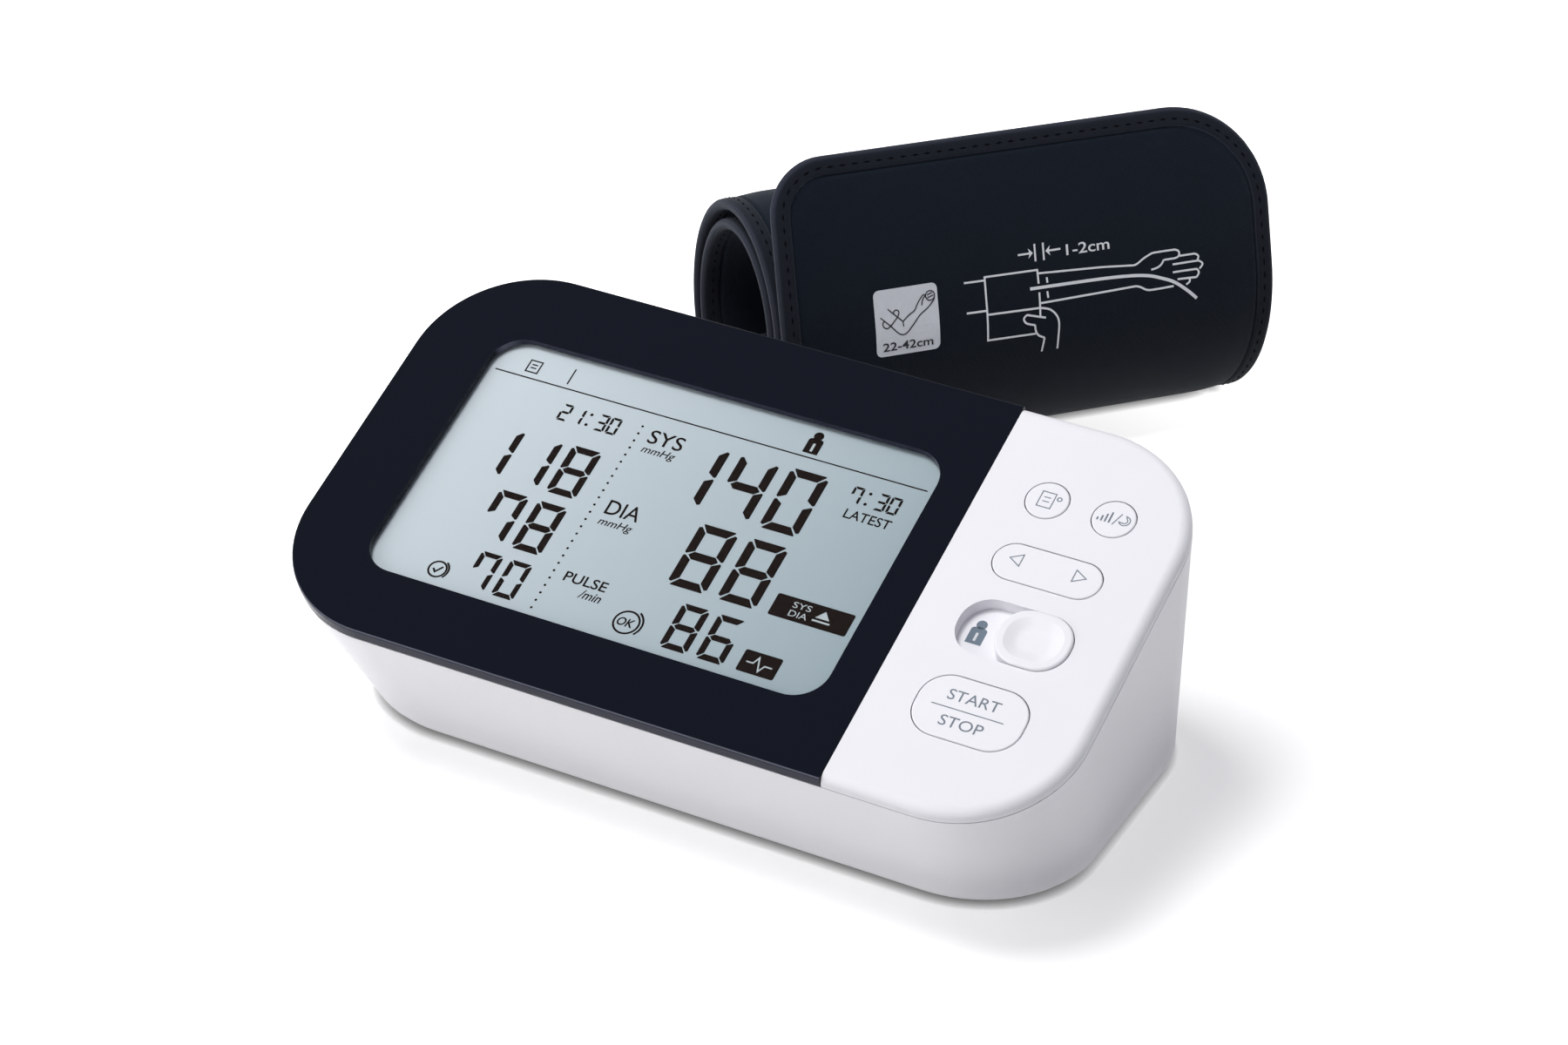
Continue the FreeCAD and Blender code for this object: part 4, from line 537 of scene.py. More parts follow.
def cloth_tint(threads, cloud):
    """Colour of the woven threads with a slight cloud in it."""
    inputs = {0: threads, 1: THREAD_SHARE, 2: spread(cloud, CLOUD_SHARES)}
    pattern = new_node(threads.id_data, "Math", inputs, "MULTIPLY_ADD")
    return tint(pattern.outputs[0], CLOTH_DARK, CLOTH_LIGHT)


def cloth_zones(tree):
    """How much of its tint the cloth keeps at each distance from its edge, the piping's share partly a
    painted highlight.
    """
    edge = new_node(tree, "UVMap")
    edge.uv_map = "edge"
    inset = new_node(tree, "SeparateXYZ", {"Vector": edge.outputs["UV"]}).outputs["X"]
    half_seam = PIPING_WIDTH / 2
    # The piping at the edge and at the seam carries a painted edge highlight
    stops = [
        (PIPING_WIDTH, PIPING_HIGHLIGHT_SHARES), (2 * PIPING_WIDTH, BINDING_SHARES),
        (BINDING_WIDTH - half_seam, BINDING_SHARES), (BINDING_WIDTH, PIPING_HIGHLIGHT_SHARES),
        (BINDING_WIDTH + half_seam, PANEL_SHARES),
    ]
    return stepped_tint(inset, [(place / EDGE_SPAN, shares) for place, shares in stops])


def painted_cloth_shade(where):
    """Painted shade: how much of its tint the cloth keeps at each height above the table, darker towards
    its foot.
    """
    height = new_node(where.id_data, "SeparateXYZ", {"Vector": where}).outputs["Z"]
    return mapped(height, (0.0, CUFF_TOP * MM), CUFF_PAINTED_SHADE_SHARES)


def cuff_cloth():
    """Woven black cloth, bound and piped along its edge, its piping paler partly by a painted highlight,
    and darkened towards its foot by painted shade.
    """
    material, shader, where = new_material("cuff_cloth")
    threads = weave(where.id_data)
    cloud = noise(where, CLOTH_CLOUD_GRAIN)
    colour = dimmed(cloth_tint(threads, cloud), cloth_zones(where.id_data))
    feed(shader, {
        # Painted shade darkens the cloth towards its foot
        "Base Color": dimmed(colour, painted_cloth_shade(where)),
        "Roughness": spread(cloud, CLOTH_ROUGH_SHARES),
        **CLOTH_LOOK_SHARES,
    })
    relief(shader, threads, CLOTH_DEPTH)
    return material


BOARD_DARK = (0.015, 0.10, 0.045)
BOARD_LIGHT = (0.03, 0.17, 0.075)
BOARD_GRAIN = 380.0
BOARD_DEPTH = 0.02
BOARD_ROUGH_SHARE = 0.35


def circuit_board():
    """Green solder mask with faint copper runs under it."""
    material, shader, where = new_material("circuit_board")
    cells = new_node(where.id_data, "TexVoronoi", {"Vector": where, "Scale": BOARD_GRAIN})
    cells.distance = "MANHATTAN"
    runs = cells.outputs["Distance"]
    feed(shader, {"Base Color": tint(runs, BOARD_DARK, BOARD_LIGHT), "Roughness": BOARD_ROUGH_SHARE})
    relief(shader, runs, BOARD_DEPTH)
    return material


WRAP_DARK = (0.03, 0.05, 0.11)
WRAP_LIGHT = (0.10, 0.16, 0.30)
WRAP_BAND_GRAIN = 5.0
WRAP_GRAIN = 700.0
WRAP_DEPTH = 0.01
WRAP_ROUGH_SHARE = 0.3


def cell_wrap():
    """Printed film on the cells, dark and lighter blue in bands."""
    material, shader, where = new_material("cell_wrap")
    wave = new_node(where.id_data, "TexWave", {"Vector": where, "Scale": WRAP_BAND_GRAIN})
    wave.bands_direction = "Y"
    bands = wave.outputs["Fac"]
    feed(shader, {"Base Color": tint(bands, WRAP_DARK, WRAP_LIGHT), "Roughness": WRAP_ROUGH_SHARE})
    relief(shader, noise(where, WRAP_GRAIN), WRAP_DEPTH)
    return material


def dress(material, *names):
    """Give solids one finish."""
    for name in names:
        nodes[name].data.materials.clear()
        nodes[name].data.materials.append(material)


def dress_nodes():
    """Give every solid that shows its own surface."""
    for name, (colour, roughness, depth, *solids) in MOULDED.items():
        dress(moulded(name, colour, roughness, depth), *solids)
    for name, (colour, roughness, *solids) in PLATED.items():
        dress(plated(name, colour, roughness), *solids)
    dress(black_gloss(), "display_bezel")
    dress(clear_window(), "display_lens")
    dress(display_face(), "lcd_glass")
    dress(circuit_board(), "main_board", "key_board")
    dress(cell_wrap(), "battery_cells")


# Flat marks: each is a list of points and a list of faces, in millimetres on its surface

MITRE_LIMIT_SHARE = 0.3
ARC_STEPS = 24
RING_CORNERS = 48
ROUND_STEPS = 6
LETTER_STEPS = 4
# Turns in degrees
QUARTER_TURN = 90
FULL_TURN = 360


def polygon(points):
    """A filled outline."""
    corners = [Vector((x, y, 0)) for x, y in points]
    return list(points), [tuple(face) for face in tessellate_polygon([corners])]


def ribbon(points, width, closed=False):
    """A line of even width through points, with mitred corners."""
    count = len(points)
    sides = []
    for i, (x, y) in enumerate(points):
        before = points[i - 1] if i or closed else points[i]
        after = points[(i + 1) % count] if i + 1 < count or closed else points[i]
        first = Vector((x - before[0], y - before[1]))
        last = Vector((after[0] - x, after[1] - y))
        first = first.normalized() if first.length else last.normalized()
        last = last.normalized() if last.length else first
        middle = (first + last).normalized()
        reach = width / 2 / max(middle.dot(first), MITRE_LIMIT_SHARE)
        across, along = middle.y * reach, middle.x * reach
        sides += [(x - across, y + along), (x + across, y - along)]
    ends = [(2 * i, 2 * ((i + 1) % count)) for i in range(count if closed else count - 1)]
    return sides, [(a, a + 1, b + 1, b) for a, b in ends]


def arc(x, y, radius, start, end, steps=ARC_STEPS):
    """Points along an arc, with its angles in degrees."""
    angles = [math.radians(start + (end - start) * i / steps) for i in range(steps + 1)]
    return [(x + radius * math.cos(angle), y + radius * math.sin(angle)) for angle in angles]


def disc(x, y, radius):
    """A filled round dot."""
    return polygon(arc(x, y, radius, 0, FULL_TURN)[:-1])


def ring(x, y, radius, width):
    """A closed round line."""
    return ribbon(arc(x, y, radius, 0, FULL_TURN, RING_CORNERS)[:-1], width, closed=True)


def plate(left, low, right, high, corner):
    """A filled rectangle with round corners."""
    near, far, foot, head = left + corner, right - corner, low + corner, high - corner
    points = []
    for quarter, (x, y) in enumerate(((far, head), (near, head), (near, foot), (far, foot))):
        points += arc(x, y, corner, quarter * QUARTER_TURN, (quarter + 1) * QUARTER_TURN, ROUND_STEPS)
    return polygon(points)


def words(text, left, low, right, high, weight=0.0, slant=0.0):
    """Lettering that fills a box, thinner or bolder by weight."""
    curve = bpy.data.curves.new("lettering", "FONT")
    curve.body = text
    curve.offset = weight
    curve.shear = slant
    curve.resolution_u = LETTER_STEPS
    item = bpy.data.objects.new("lettering", curve)
    bpy.context.scene.collection.objects.link(item)
    bpy.context.view_layer.update()
    mesh = bpy.data.meshes.new_from_object(item.evaluated_get(bpy.context.evaluated_depsgraph_get()))
    points = [(vertex.co.x, vertex.co.y) for vertex in mesh.vertices]
    faces = [tuple(face.vertices) for face in mesh.polygons]
    bpy.data.objects.remove(item)
    bpy.data.curves.remove(curve)
    bpy.data.meshes.remove(mesh)
    xs, ys = zip(*points)
    x0, y0 = min(xs), min(ys)
    across, along = (right - left) / (max(xs) - x0), (high - low) / (max(ys) - y0)
    return [(left + (x - x0) * across, low + (y - y0) * along) for x, y in points], faces


def mark(name, shapes, place, material, body):
    """One piece of flat marks on a surface, riding on a body."""
    points, faces = [], []
    for corners, loops in shapes:
        start = len(points)
        points += [place(x, y) for x, y in corners]
        faces += [tuple(start + i for i in loop) for loop in loops]
    item = new_piece(name, points, faces, material)
    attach(item, body)


# Display

# Bars of a digit that are lit: top, upper left, upper right, middle, lower left, lower right, foot
DIGIT_BARS = {
    "0": "1110111",
    "1": "0010010",
    "2": "1011101",
    "3": "1011011",
    "4": "0111010",
    "6": "1101111",
    "7": "1110010",
    "8": "1111111",
}
# Gap and cut corner by a bar's width, bend by that cut, then an upright bar's point by half its width
BAR_GAP_SHARE = 0.09
BAR_CUT_SHARE = 0.45
BAR_BEND_SHARE = 0.7
BAR_POINT_SHARE = 0.4
BAR_SHOULDER_SHARE = 0.3


def digit(figure, left, low, width, height, stroke):
    """A seven-bar figure with cut outer corners and narrow gaps between its bars."""
    right, high, middle = left + width, low + height, low + height / 2
    gap, half, cut = stroke * BAR_GAP_SHARE, stroke / 2, stroke * BAR_CUT_SHARE
    inner_left, inner_right = left + stroke, right - stroke

    def level_bar(edge, inward):
        return [
            (left + cut, edge), (right - cut, edge), (right - cut + gap, edge + inward * gap),
            (inner_right - gap, edge + inward * stroke), (inner_left + gap, edge + inward * stroke),
            (left + cut - gap, edge + inward * gap),
        ]

    def upright_bar(edge, inward, end, toward):
        root, inner, bend = middle - toward * gap, edge + inward * stroke, cut * BAR_BEND_SHARE
        return [
            (edge, end + toward * (cut + gap)), (edge + inward * bend, end + toward * (bend + gap)),
            (inner, end + toward * (stroke + gap)), (inner, root - toward * half),
            (edge + inward * half * BAR_POINT_SHARE, root),
            (edge, root - toward * half * BAR_SHOULDER_SHARE),
        ]

    bars = [
        level_bar(high, -1),
        upright_bar(left, 1, high, -1),
        upright_bar(right, -1, high, -1),
        [
            (left + half, middle), (inner_left, middle + half), (inner_right, middle + half),
            (right - half, middle), (inner_right, middle - half), (inner_left, middle - half),
        ],
        upright_bar(left, 1, low, 1),
        upright_bar(right, -1, low, 1),
        level_bar(low, 1),
    ]
    return [polygon(bar) for bar, lit in zip(bars, DIGIT_BARS[figure]) if lit == "1"]


# Figures on the display: text, left edge of its last figure, foot, width, height, bar width, pitch
FIGURES = (
    ("118", -46.8, -2.6, 7.6, 13.9, 1.75, 9.85),
    ("78", -46.8, -19.3, 7.6, 13.9, 1.75, 9.85),
    ("70", -44.7, -32.4, 5.55, 10.2, 1.25, 7.4),
    ("140", 3.5, 4.3, 9.5, 17.5, 2.15, 12.3),
    ("88", 3.5, -16.5, 9.5, 17.5, 2.15, 12.3),
    ("86", 6.15, -32.3, 6.75, 12.3, 1.55, 8.8),
    # Clocks
    ("21", -51.05, 16.7, 2.65, 4.8, 0.62, 3.4),
    ("30", -41.85, 16.7, 2.65, 4.8, 0.62, 3.05),
    ("7", 19.2, 16.9, 2.65, 4.8, 0.62, 3.05),
    ("30", 28.45, 16.9, 2.65, 4.8, 0.62, 3.05),
)
CLOCK_COLONS = ((-46.9, 17.5), (-46.9, 20.5), (23.4, 17.7), (23.4, 20.7))
COLON_RADIUS = 0.4
# Words on the display: text, left, foot, right, head, weight, slant
DISPLAY_WORDS = (
    ("SYS", -31.4, 17.4, -22.7, 21.3, 0.006),
    ("DIA", -31.2, -3.8, -22.8, 0.2, 0.006),
    ("PULSE", -31.2, -23.5, -20.6, -20.8, 0.012),
    ("mmHg", -31.4, 14.0, -23.0, 16.6, 0.008, 0.2),
    ("mmHg", -31.2, -7.5, -22.8, -4.9, 0.008, 0.2),
    ("/min", -25.8, -26.6, -20.4, -24.2, 0.012, 0.2),
    ("LATEST", 20.1, 12.8, 31.3, 15.4, 0.01),
    ("OK", -14.4, -30.15, -10.4, -27.9, 0.02, 0.15),
)
RULES = (((-75.0, 25.5), (35.0, 25.5)), ((-56.7, 26.7), (-56.7, 31.3)))
RULE_WIDTH = 0.36
DOTS_X = -34.2
DOTS_TOP = 21.3
DOTS_PITCH = 2.15
DOTS_COUNT = 26
DOT_RADIUS = 0.31
# Rings with an arc outside: place, radius, radius of the arc
CHECK_RINGS = ((-12.2, -29.0, 2.95, 3.75), (-59.4, -30.2, 2.1, 2.65))
CHECK_LINE_WIDTH = 0.48
CHECK_ARC = (-40, 60)
CHECK_TICK_SHARES = ((-0.5, 0.0), (-0.125, -0.4), (0.5, 0.4545))
LIST_ICON = (-68.0, 27.2, -65.0, 30.5)
ICON_LINE_WIDTH = 0.36
TREND_TAG = (16.0, -16.5, 34.7, -10.5)
WAVE_TAG = (16.0, -32.2, 25.0, -26.4)
TAG_CORNER = 0.5
TREND_ARROW = ((26.4, -13.9), (29.8, -13.9), (28.1, -11.8))
TREND_RULE = ((26.0, -14.7), (30.2, -14.7))
TREND_RULE_WIDTH = 0.45
PULSE_WAVE = ((17.4, -29.4), (19.0, -29.4), (19.8, -27.7), (20.9, -31.1), (21.8, -29.4), (23.6, -29.4))
PULSE_WAVE_WIDTH = 0.35
DISPLAY_PERSON = (5.35, 26.6, 6.3)
# Pale words on the dark tags and on the person: text, left, foot, right, head
TAG_WORDS = (
    ("SYS", 20.4, -13.1, 24.8, -11.5),
    ("DIA", 20.4, -15.4, 24.8, -13.8),
    ("1", 5.05, 27.2, 5.65, 29.5),
)
MARK_STEP = 0.02
# A standing figure: head, half width and shoulders by its height, then the rest by its half width
HEAD_SHARE = 0.19
BREADTH_SHARE = 0.29
SHOULDER_SHARE = 0.56
SHOULDER_ROUND_SHARE = 0.4
COLLAR_SHARES = (0.25, 0.55)
# A small sheet: the inset of its lines by its width, and their levels by its height
SHEET_INSET_SHARE = 0.25
SHEET_LINE_SHARES = (0.38, 0.66)


def person(x, low, height):
    """A plain standing figure: round head over square shoulders."""
    head = height * HEAD_SHARE
    half = height * BREADTH_SHARE
    shoulder = low + height * SHOULDER_SHARE
    corner = half * SHOULDER_ROUND_SHARE
    collar, rise = scaled(COLLAR_SHARES, half)
    body = [(x - half, low), (x + half, low)]
    body += arc(x + half - corner, shoulder, corner, 0, QUARTER_TURN, ROUND_STEPS)
    body += [(x + collar, shoulder + rise), (x - collar, shoulder + rise)]
    body += arc(x - half + corner, shoulder, corner, QUARTER_TURN, 2 * QUARTER_TURN, ROUND_STEPS)
    return [disc(x, low + height - head, head), polygon(body)]


def list_icon(left, low, right, high, width):
    """A small sheet with two lines on it."""
    sheet = [(left, low), (right, low), (right, high), (left, high)]
    inset = (right - left) * SHEET_INSET_SHARE
    lines = [ribbon(sheet, width, closed=True)]
    for share in SHEET_LINE_SHARES:
        level = low + (high - low) * share
        lines.append(ribbon([(left + inset, level), (right - inset, level)], width))
    return lines


def display_figures():
    """Readings, clocks and words on the display."""
    shapes = []
    for text, left, low, width, height, stroke, pitch in FIGURES:
        for back, figure in enumerate(reversed(text)):
            shapes += digit(figure, left - back * pitch, low, width, height, stroke)
    shapes += [disc(x, y, COLON_RADIUS) for x, y in CLOCK_COLONS]
    return shapes + [words(*line) for line in DISPLAY_WORDS]


def display_icons():
    """Rules, dotted line, checked rings, small pictures and dark tags on the display."""
    shapes = [ribbon(line, RULE_WIDTH) for line in RULES]
    shapes += [disc(DOTS_X, DOTS_TOP - i * DOTS_PITCH, DOT_RADIUS) for i in range(DOTS_COUNT)]
    for x, y, radius, outer in CHECK_RINGS:
        shapes.append(ring(x, y, radius, CHECK_LINE_WIDTH))
        shapes.append(ribbon(arc(x, y, outer, *CHECK_ARC), CHECK_LINE_WIDTH))
    x, y, radius, _ = CHECK_RINGS[-1]
    tick = [(x + radius * across, y + radius * up) for across, up in CHECK_TICK_SHARES]
    shapes.append(ribbon(tick, CHECK_LINE_WIDTH))
    shapes += list_icon(*LIST_ICON, ICON_LINE_WIDTH) + person(*DISPLAY_PERSON)
    return shapes + [plate(*tag, TAG_CORNER) for tag in (TREND_TAG, WAVE_TAG)]


def make_display_marks():
    """Dark segments on the display and the pale marks on its two dark tags."""
    dark = display_figures() + display_icons()
    mark("display_segments", dark, on_lid(DISPLAY_LEVEL), ink("segment_ink"), "case")
    pale = [polygon(TREND_ARROW), ribbon(TREND_RULE, TREND_RULE_WIDTH)]
    pale += [ribbon(PULSE_WAVE, PULSE_WAVE_WIDTH)] + [words(*line) for line in TAG_WORDS]
    mark("display_tag_marks", pale, on_lid(DISPLAY_LEVEL + MARK_STEP), ink("tag_ink"), "case")


# Print on the controls, in millimetres on the lid

PRINT_LINE_WIDTH = 0.25
BAR_LINE_WIDTH = 0.4
START_BOX = (63.1, -25.2, 75.0, -22.5)
STOP_BOX = (64.0, -31.8, 73.9, -29.1)
START_RULE = ((60.6, -27.2), (77.2, -27.2))
LEFT_ARROW = ((60.7, 13.2), (63.4, 11.6), (63.4, 14.8))
RIGHT_ARROW = ((78.5, 13.2), (75.7, 14.8), (75.7, 11.6))
MEMORY_SHEET = (60.2, 28.1, 63.4, 32.2)
MEMORY_RING = (64.5, 31.1, 0.5)
# Bars of the small chart: place, foot, head
AVERAGE_BARS = ((74.2, 28.8, 29.6), (75.1, 28.8, 30.3), (76.0, 28.8, 31.0), (76.9, 28.8, 31.7))
AVERAGE_SLASH = ((77.8, 28.6), (79.0, 31.9))
MOON = (80.1, 30.3, 1.25)
MOON_ARC = (-150, 90)
MOON_HOLLOW_SHARE = 0.55
MOON_TIP_STEPS = 4
USER_MARK = (61.0, -8.3, 6.4)
USER_FIGURE_BOX = (60.65, -7.5, 61.25, -5.3)


def moon(x, y, radius):
    """A crescent's outline, hollow to the upper left."""
    rim = arc(x, y, radius, *MOON_ARC)
    hollow = arc(x, y, radius * MOON_HOLLOW_SHARE, *MOON_ARC)[MOON_TIP_STEPS:-MOON_TIP_STEPS]
    return ribbon(rim + hollow[::-1], PRINT_LINE_WIDTH, closed=True)


def make_control_marks():
    """Grey print on the buttons and the user's mark on the slide switch's floor."""
    grey = ink("print_grey")
    cap = on_lid(BUTTON_LEVEL)
    start = [words("START", *START_BOX), words("STOP", *STOP_BOX), ribbon(START_RULE, PRINT_LINE_WIDTH)]
    mark("start_print", start, cap, grey, "start_key")
    arrows = [ribbon(outline, PRINT_LINE_WIDTH, closed=True) for outline in (LEFT_ARROW, RIGHT_ARROW)]
    mark("rocker_print", arrows, cap, grey, "rocker")
    sheet = list_icon(*MEMORY_SHEET, PRINT_LINE_WIDTH) + [ring(*MEMORY_RING, PRINT_LINE_WIDTH)]
    mark("memory_print", sheet, cap, grey, "memory_key")
    chart = [ribbon(((x, low), (x, high)), BAR_LINE_WIDTH) for x, low, high in AVERAGE_BARS]
    chart += [ribbon(AVERAGE_SLASH, PRINT_LINE_WIDTH), moon(*MOON)]
    mark("average_print", chart, cap, grey, "average_key")
    mark("user_mark", person(*USER_MARK), on_lid(SLOT_FLOOR_LEVEL), ink("user_slate"), "case")
    figure = [words("1", *USER_FIGURE_BOX)]
    mark("user_figure", figure, on_lid(SLOT_FLOOR_LEVEL + MARK_STEP), ink("user_white"), "case")


# Rolled cuff: a strip of bound cloth, straight at its flap and then wound into an oval roll

CUFF_X = -20.7
CUFF_Y = 175.0
CUFF_TURN = math.radians(48.5)
CUFF_WIDTH = 134.0
CUFF_PITCH = 5.0
CUFF_DEPTH_RADIUS = 33.1
CUFF_HEIGHT_RADIUS = 34.5
CUFF_MIDDLE = 34.75
FLAP_LENGTH = 42.8
FLAP_LEFT_CORNER = 14.0
FLAP_RIGHT_CORNER = 28.0
END_CORNER = 6.0
FLAP_TURN_SHARE = -0.06
INNER_END_TURN_SHARE = 2.4
WINDING_STEPS = 900

PANEL_HALF = 2.0
BINDING_HALF = 1.45
BINDING_WIDTH = 4.5
PIPING_WIDTH = 0.5
EDGE_SPAN = 12.0
GROOVE_WIDTH = 0.9
GROOVE_HALF = 0.95
PANEL_RISE = 8.0
STITCH_INSET = 2.8
STITCH_PITCH = 3.2
STITCH_LENGTH = 2.1
STITCH_WIDTH = 0.5
STITCH_HEIGHT = 0.22
CORNER_STEPS = 12


def winding(turn):
    """A point of the oval winding and the direction out of the roll there, in the cuff's own frame."""
    angle = 2 * math.pi * turn
    depth = CUFF_DEPTH_RADIUS - CUFF_PITCH * turn
    height = CUFF_HEIGHT_RADIUS - CUFF_PITCH * turn
    step = CUFF_PITCH / (2 * math.pi)
    point = Vector((-depth * math.cos(angle), CUFF_MIDDLE - height * math.sin(angle)))
    along = Vector((
        depth * math.sin(angle) + step * math.cos(angle),
        step * math.sin(angle) - height * math.cos(angle),
    ))
    along.normalize()
    return point, Vector((along.y, -along.x))


def strip_stations():
    """Stations down the strip: distance from the flap's end, point and outward direction."""
    root, outward = winding(FLAP_TURN_SHARE)
    rise = Vector((outward.y, -outward.x))
    stations = [(0.0, root + rise * FLAP_LENGTH, outward)]
    distance, last = FLAP_LENGTH, root
    for i in range(WINDING_STEPS + 1):
        turn = FLAP_TURN_SHARE + (INNER_END_TURN_SHARE - FLAP_TURN_SHARE) * i / WINDING_STEPS
        point, outward = winding(turn)
        distance += (point - last).length
        stations.append((distance, point, outward))
        last = point
    return stations


STATIONS = strip_stations()
STATION_DISTANCES = [station[0] for station in STATIONS]
STRIP_LENGTH = STATION_DISTANCES[-1]


def strip_place(down, across, lift):
    """A place on the strip, lifted out from its middle, in the shared frame."""
    down = min(max(down, 0.0), STRIP_LENGTH)
    after = min(max(bisect.bisect_right(STATION_DISTANCES, down), 1), len(STATIONS) - 1)
    begin, end = STATIONS[after - 1], STATIONS[after]
    span = end[0] - begin[0]
    share = (down - begin[0]) / span if span else 0.0
    point = begin[1].lerp(end[1], share)
    point = point + begin[2].lerp(end[2], share).normalized() * lift
    cosine, sine = math.cos(CUFF_TURN), math.sin(CUFF_TURN)
    x = CUFF_X + cosine * across - sine * point.x
    y = CUFF_Y + sine * across + cosine * point.x
    return to_frame(x, y, max(point.y, 0.0))


def corner_at(down, across):
    """The corner radius that a place on the strip is near, and how far it lies from that end."""
    from_end = STRIP_LENGTH - down
    if from_end < down:
        return END_CORNER, from_end
    return (FLAP_LEFT_CORNER if across < 0 else FLAP_RIGHT_CORNER), down


def half_width(down, side):
    """Half of the strip's width at a station, on one side, narrowing round its corners."""
    corner, reach = corner_at(down, side)
    if reach >= corner:
        return CUFF_WIDTH / 2
    return CUFF_WIDTH / 2 - corner + math.sqrt(corner ** 2 - (corner - reach) ** 2)


def edge_distance(down, across):
    """Distance of a place on the strip from its nearest edge."""
    corner, reach = corner_at(down, across)
    side = CUFF_WIDTH / 2 - abs(across)
    if reach < corner and side < corner:
        return max(corner - math.hypot(corner - reach, corner - side), 0.0)
    return max(min(side, reach), 0.0)


def cloth_half(distance):
    """Half of the cloth's thickness at a distance from its edge: binding, seam groove, soft panel."""
    if distance < BINDING_HALF:
        return math.sqrt(BINDING_HALF ** 2 - (BINDING_HALF - distance) ** 2)
    if distance < BINDING_WIDTH:
        return BINDING_HALF
    if distance < BINDING_WIDTH + GROOVE_WIDTH:
        share = (distance - BINDING_WIDTH) / GROOVE_WIDTH
        return BINDING_HALF + (GROOVE_HALF - BINDING_HALF) * math.sin(math.pi * share)
    share = min((distance - BINDING_WIDTH - GROOVE_WIDTH) / PANEL_RISE, 1.0)
    return BINDING_HALF + (PANEL_HALF - BINDING_HALF) * math.sin(math.pi / 2 * share)


# Rows and columns of the cloth's mesh lie at these distances from an edge, then evenly
EDGE_INSETS = (
    0.0, 0.12, 0.45, 1.0, 1.5, 2.2, 3.0, 3.8, 4.4, 4.7, 4.95, 5.2, 5.45, 6.1, 7.3, 8.9, 11.4, 14.9,
)
MIDDLE_COLUMNS = 22
ROW_STEP = 2.0


def between(begin, end, count):
    """Even places between two ends, without the ends."""
    return [begin + (end - begin) * i / count for i in range(1, count)]


def edged(begin, end, count):
    """Places from one edge to another: close together at both, and even between them."""
    near = [begin + inset for inset in EDGE_INSETS]
    far = [end - inset for inset in reversed(EDGE_INSETS)]
    return near + between(near[-1], far[0], count) + far


def cuff_skin():
    """Points, strip coordinates and faces of the closed cloth."""
    grid = []
    for down in edged(0.0, STRIP_LENGTH, int((STRIP_LENGTH - 2 * EDGE_INSETS[-1]) / ROW_STEP)):
        columns = edged(-half_width(down, -1), half_width(down, 1), MIDDLE_COLUMNS)
        grid.append([(down, across) for across in columns])
    last_row, last_column = len(grid) - 1, len(grid[0]) - 1
    points, strip, index = [], [], {}
    for side in (1, -1):
        for i, line in enumerate(grid):
            for j, (down, across) in enumerate(line):
                border = i in (0, last_row) or j in (0, last_column)
                if border and side < 0:
                    index[side, i, j] = index[1, i, j]
                    continue
                lift = 0.0 if border else side * cloth_half(edge_distance(down, across))
                index[side, i, j] = len(points)
                points.append(strip_place(down, across, lift))
                strip.append((down, across))
    faces = []
    for side in (1, -1):
        for i in range(last_row):
            for j in range(last_column):
                spots = ((i, j), (i + 1, j), (i + 1, j + 1), (i, j + 1))
                faces.append(tuple(index[(side, *spot)] for spot in spots[::side]))
    return points, strip, faces


def make_cuff():
    """The cuff's cloth as one closed skin that holds each point's place on the strip and edge distance."""
    points, strip, faces = cuff_skin()
    cuff = new_piece("cuff_cloth", points, faces, cuff_cloth())
    mesh = cuff.data
    places = mesh.uv_layers.new(name="strip")
    edges = mesh.uv_layers.new(name="edge")
    for face in mesh.polygons:
        face.use_smooth = True
        for corner in face.loop_indices:
            place = strip[mesh.loops[corner].vertex_index]
            places.data[corner].uv = place
            edges.data[corner].uv = (min(edge_distance(*place) / EDGE_SPAN, 1.0), 0.0)
    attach(cuff, "cuff")
    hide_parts("cuff_sleeve", "cuff_pocket")


def edge_path(inset):
    """A line round the strip at one inset: up the left side, round the flap and down the right side."""
    half = CUFF_WIDTH / 2
    bottom = STRIP_LENGTH - END_CORNER
    path = [(bottom, inset - half)]
    for corner, side, quarter in ((FLAP_LEFT_CORNER, -1, 1), (FLAP_RIGHT_CORNER, 1, 0)):
        middle = side * (half - corner)
        begin, end = (quarter + 1) * QUARTER_TURN, quarter * QUARTER_TURN
        bend = arc(middle, 0, corner - inset, begin, end, CORNER_STEPS)
        path += [(corner - y, x) for x, y in bend]
    path.append((bottom, half - inset))
    return [Vector(spot) for spot in path]


def along_path(path, pitch):
    """Even steps along a line: each place and the direction there."""
    waiting = 0.0
    for begin, end in zip(path, path[1:]):
        run = (end - begin).length
        along = (end - begin) / run
        while waiting < run:
            yield begin + along * waiting, along
            waiting += pitch
        waiting -= run


def make_stitches():
    """Rows of short stitches along the binding, on both faces of the cloth."""
    lift = cloth_half(STITCH_INSET)
    points, faces = [], []
    for foot, along in along_path(edge_path(STITCH_INSET), STITCH_PITCH):
        across = Vector((-along.y, along.x)) * STITCH_WIDTH / 2
        tip = foot + along * STITCH_LENGTH
        middle = (foot + tip) / 2
        outline = (foot, middle + across, tip, middle - across)
        count = len(outline)
        for side in (1, -1):
            start = len(points)
            points += [strip_place(spot.x, spot.y, side * lift) for spot in outline]
            points.append(strip_place(middle.x, middle.y, side * (lift + STITCH_HEIGHT)))
            faces += [(start + i, start + (i + 1) % count, start + count) for i in range(count)]
    stitches = new_piece("cuff_stitches", points, faces, ink("thread"))
    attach(stitches, "cuff")


# Print on the cuff, in millimetres across the flap and up from where it leaves the roll

